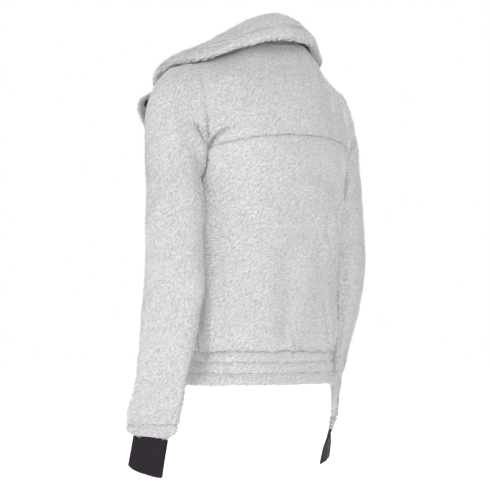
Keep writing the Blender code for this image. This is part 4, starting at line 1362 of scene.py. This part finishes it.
def blend(finish, share, first, second):
    """A colour between two others."""
    return finish.node("Mix", {"data_type": "RGBA"}, {0: share, 6: first, 7: second}, 2)


PALE = (0.622, 0.622, 0.636, 1.0)  # the tips of the pile
SHADED_PILE = (0.290, 0.287, 0.304, 1.0)  # and its roots, in painted shade, and the shade between its locks
CREASE = (0.140, 0.128, 0.144, 1.0)  # the shaded foot of parted pile
FUZZ = {"Roughness": 0.95, "Sheen_Weight": 0.5, "Sheen_Roughness": 0.5}  # shared by the shells and the tufts


def fleece_finish():
    """The matted pile of the shells, with wavy strokes along the nap and painted shade in its grooves and
    creases.
    """
    finish = Finish("high_pile_fleece", **FUZZ, Specular_IOR_Level=0.15)
    cloth = finish.node("UVMap", {"uv_map": "cloth"})
    drift = noise(finish, cloth, 16.0, 2.0)
    bent = finish.node("VectorMath", {"operation": "MULTIPLY_ADD"}, {
        0: finish.node("TexNoise", None, {"Vector": cloth, "Scale": 22.0, "Detail": 1.0}, 1),
        1: (0.03, 0.03, 0.0), 2: cloth,
    })
    strokes = noise(finish, turned(finish, bent, 42, (150.0, 520.0, 1.0)), 1.0, 2.5, 0.55, 0.6)
    fine = noise(finish, cloth, 1100.0, 2.0, 0.6)
    height = strokes * 0.8 + fine * 0.3
    bump = finish.node("Bump", None, {"Height": height, "Strength": 0.6, "Distance": 0.0016})
    crease_shade = finish.node("Attribute", {"attribute_name": "crease"}, None, 2)
    # painted shade: darker where the strokes' bump is low, and toward CREASE where the crease layer marks
    # seams, creases and the collar's underside; the drift is random tone
    tone = strokes * 0.7 + drift * 0.3 - 0.05
    colour = blend(finish, crease_shade * 0.8, blend(finish, tone, SHADED_PILE, PALE), CREASE)
    return finish.surface(Base_Color=colour, Normal=bump)


def pile_finish():
    """The tufts that stand on the shells, darker at the root with painted shade and paler at the tip."""
    finish = Finish("fleece_tufts", **FUZZ, Specular_IOR_Level=0.10)
    shade = finish.node("Attribute", {"attribute_name": "pile"})
    lift, tone_and_side_shade, crease_shade = (finish.node("SeparateColor", None, {"Color": shade}, n) for n in range(3))
    # painted shade: the tone darkens toward each tuft's root (lift), on cloth facing right and along seams
    # and creases; the rest of its spread is random
    tone = lift * 0.5 + tone_and_side_shade * 0.9 - 0.05
    colour = blend(finish, crease_shade * 0.55, blend(finish, tone, SHADED_PILE, PALE), CREASE)
    return finish.surface(Base_Color=colour)


def knit_finish():
    """Flat dark rib knit: fine upright ribs with painted light on their tops and shade between them."""
    finish = Finish(
        "charcoal_rib_knit", Roughness=0.9, Sheen_Weight=0.06, Sheen_Roughness=0.5, Specular_IOR_Level=0.15,
    )
    cloth = finish.node("UVMap", {"uv_map": "cloth"})
    ribs = finish.node("TexWave", {"bands_direction": "X"}, {
        "Vector": cloth, "Scale": 120.0, "Distortion": 0.4, "Detail": 1.0, "Detail Scale": 2.0,
    })
    rows = finish.node("TexWave", {"bands_direction": "Y"}, {
        "Vector": cloth, "Scale": 260.0, "Distortion": 0.5, "Detail": 1.0, "Detail Scale": 2.0,
    })
    drift = noise(finish, cloth, 30.0, 3.0)
    height = ribs * 0.7 + rows * 0.3
    bump = finish.node("Bump", None, {"Height": height, "Strength": 0.35, "Distance": 0.0005})
    # painted light and shade: paler on the ribs' tops and darker between them; the drift is random tone
    colour = blend(finish, ribs * 0.3 + drift * 0.6, (0.010, 0.008, 0.011, 1.0), (0.021, 0.016, 0.021, 1.0))
    return finish.surface(Base_Color=colour, Normal=bump)


def metal_finish():
    """Blackened metal, rubbed paler on the studs' rims."""
    finish = Finish("blackened_metal", Metallic=1.0, Roughness=0.34)
    place = finish.node("NewGeometry")
    pointed = Wire(finish, place.socket.node.outputs["Pointiness"])
    rubbed = finish.node("ValToRGB", {"stops": ((0.48, (0, 0, 0, 1)), (0.60, (1, 1, 1, 1)))}, {0: pointed})
    worn = finish.node("RGBToBW", None, {0: rubbed})
    texture = finish.node("TexCoord", None, None, 3)
    specks = noise(finish, texture, 900.0, 3.0, 0.6)
    rough = 0.26 + specks * 0.2
    colour = blend(finish, worn * 0.8 + specks * 0.1, (0.018, 0.017, 0.019, 1.0), (0.085, 0.082, 0.083, 1.0))
    return finish.surface(Base_Color=colour, Roughness=rough)


def plain_finish(name, colour, glow):
    """The studio's floor, which glows a little so that it is as white as the photo's ground."""
    finish = Finish(name, Roughness=0.9, Specular_IOR_Level=0.1, Emission_Strength=glow)
    finish.shader.inputs["Emission Color"].default_value = (1.0, 1.0, 1.0, 1.0)
    place = finish.node("TexCoord", None, None, 3)
    cloudy = noise(finish, place, 0.8, 2.0)
    darker = tuple(0.985 * c for c in colour[:3]) + (1.0,)
    return finish.surface(Base_Color=blend(finish, cloudy, darker, colour))


# The studio
CAMERA_AZIMUTH = 133.6
CAMERA_DISTANCE = 2.88  # from the middle of the body
CAMERA_HEIGHT = 83.0  # above the hem
FOCAL_PIXELS = 1745.0
FRAME_PIXELS = 490
HORIZON_ROW = 333.0
BODY_COLUMN = 259.0
FLOOR_DROP = 620.0  # the floor, below the hem
FLOOR_HALF_WIDTH = 30.0  # in metres
LIGHT_AIM = 280.0  # the height above the hem at which the lights point


def make_camera():
    """The camera at the photo's place, turned so that the body and horizon fall where the photo has them."""
    turn = math.radians(CAMERA_AZIMUTH)
    toward = Vector((math.sin(turn), -math.cos(turn), 0.0))
    right = Vector((math.cos(turn), math.sin(turn), 0.0))
    middle = FRAME_PIXELS / 2
    pitch = math.atan((HORIZON_ROW - middle) / FOCAL_PIXELS)
    yaw = math.atan((BODY_COLUMN - middle) / FOCAL_PIXELS)
    place = Vector(to_frame(np.array([0.0, 0.0, CAMERA_HEIGHT]))) + toward * CAMERA_DISTANCE
    level = (-toward * math.cos(yaw) - right * math.sin(yaw)).normalized()
    forward = (level * math.cos(pitch) + Vector((0, 0, 1)) * math.sin(pitch)).normalized()
    side = forward.cross(Vector((0, 0, 1))).normalized()
    up = side.cross(forward)
    lens = bpy.data.cameras.new("photo_view")
    lens.sensor_width = 36.0
    lens.lens = FOCAL_PIXELS * lens.sensor_width / FRAME_PIXELS
    lens.clip_end = 100.0
    camera = bpy.data.objects.new("photo_view", lens)
    rows = [(side[n], up[n], -forward[n], place[n]) for n in range(3)]
    camera.matrix_world = Matrix(rows + [(0.0, 0.0, 0.0, 1.0)])
    bpy.context.scene.collection.objects.link(camera)
    bpy.context.scene.camera = camera


def add_light(name, azimuth, elevation, distance, size, watts):
    """A soft square light that faces the jacket."""
    a, e = math.radians(azimuth), math.radians(elevation)
    toward = Vector((math.sin(a) * math.cos(e), -math.cos(a) * math.cos(e), math.sin(e)))
    data = bpy.data.lights.new(name, "AREA")
    data.shape = "SQUARE"
    data.size = size
    data.energy = watts
    item = bpy.data.objects.new(name, data)
    item.location = Vector(to_frame(np.array([0.0, 0.0, LIGHT_AIM]))) + toward * distance
    item.rotation_euler = toward.to_track_quat("Z", "Y").to_euler()
    bpy.context.scene.collection.objects.link(item)


def make_studio():
    """A white world, a pale floor and three soft lights."""
    scene = bpy.context.scene
    scene.view_settings.view_transform = "Standard"
    world = bpy.data.worlds.new("white_studio")
    world.use_nodes = True
    world.node_tree.nodes["Background"].inputs["Color"].default_value = (1.0, 1.0, 1.0, 1.0)
    scene.world = world
    half = FLOOR_HALF_WIDTH
    drop = -(HELD_HEIGHT + FLOOR_DROP) * MM
    corners = np.array([(-half, -half, drop), (half, -half, drop), (half, half, drop), (-half, half, drop)])
    finish = plain_finish("pale_floor", (0.93, 0.93, 0.93, 1.0), glow=0.48)
    floor = new_mesh("pale_floor", corners, np.array([[0, 1, 2, 3]]), finish)
    add_light("key", azimuth=96, elevation=28, distance=3.0, size=1.6, watts=5.0)
    add_light("front_fill", azimuth=144, elevation=4, distance=3.6, size=1.6, watts=44.0)
    add_light("top_rim", azimuth=300, elevation=68, distance=3.0, size=1.6, watts=19.0)


SHEETS = {}  # the flat sizes, as they are printed at the end
GATHERED = ("waistband", "sleeve_band_left", "sleeve_band_right")


def declare(node, cloth):
    """Says what the piece of cloth was cut to."""
    width, length, area = cloth.flat_size()
    held = "gathered" if node in GATHERED else "stretched"
    SHEETS[node] = (round(width, 3), round(length, 3), round(area, 4))


def main():
    """The camera, every piece of the jacket with its pile, and the studio."""
    make_camera()
    fleece, pile, knit, metal = fleece_finish(), pile_finish(), knit_finish(), metal_finish()
    caps = []
    for node in sorted(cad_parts):
        if node.startswith("press_stud"):
            caps.append(make_stud(node, metal))
    pieces = make_panels() + [("waistband", make_waistband())] + make_sleeves()
    pieces += make_collar() + make_lapels()
    for n, (node, cloth) in enumerate(pieces):
        if node.startswith("cuff"):
            cloth.finish(0.0)
            item = shell(cloth, knit, node)
            declare(node, cloth)
            continue
        cloth.finish()
        item = shell(cloth, fleece, node)
        grids = [(cloth.outer, cloth.outer_normals)]
        if node.startswith("lapel"):
            grids.append((cloth.inner, cloth.inner_normals))
        length = TUFT_LENGTH * (SHORT_TUFTS if node.startswith(("lapel", "sleeve_band")) else 1.0)
        fur = tufts(cloth, grids, pile, SEED + 10 * n, caps, length)
        declare(node, cloth)
    make_studio()
    print("flat sizes", SHEETS)


main()
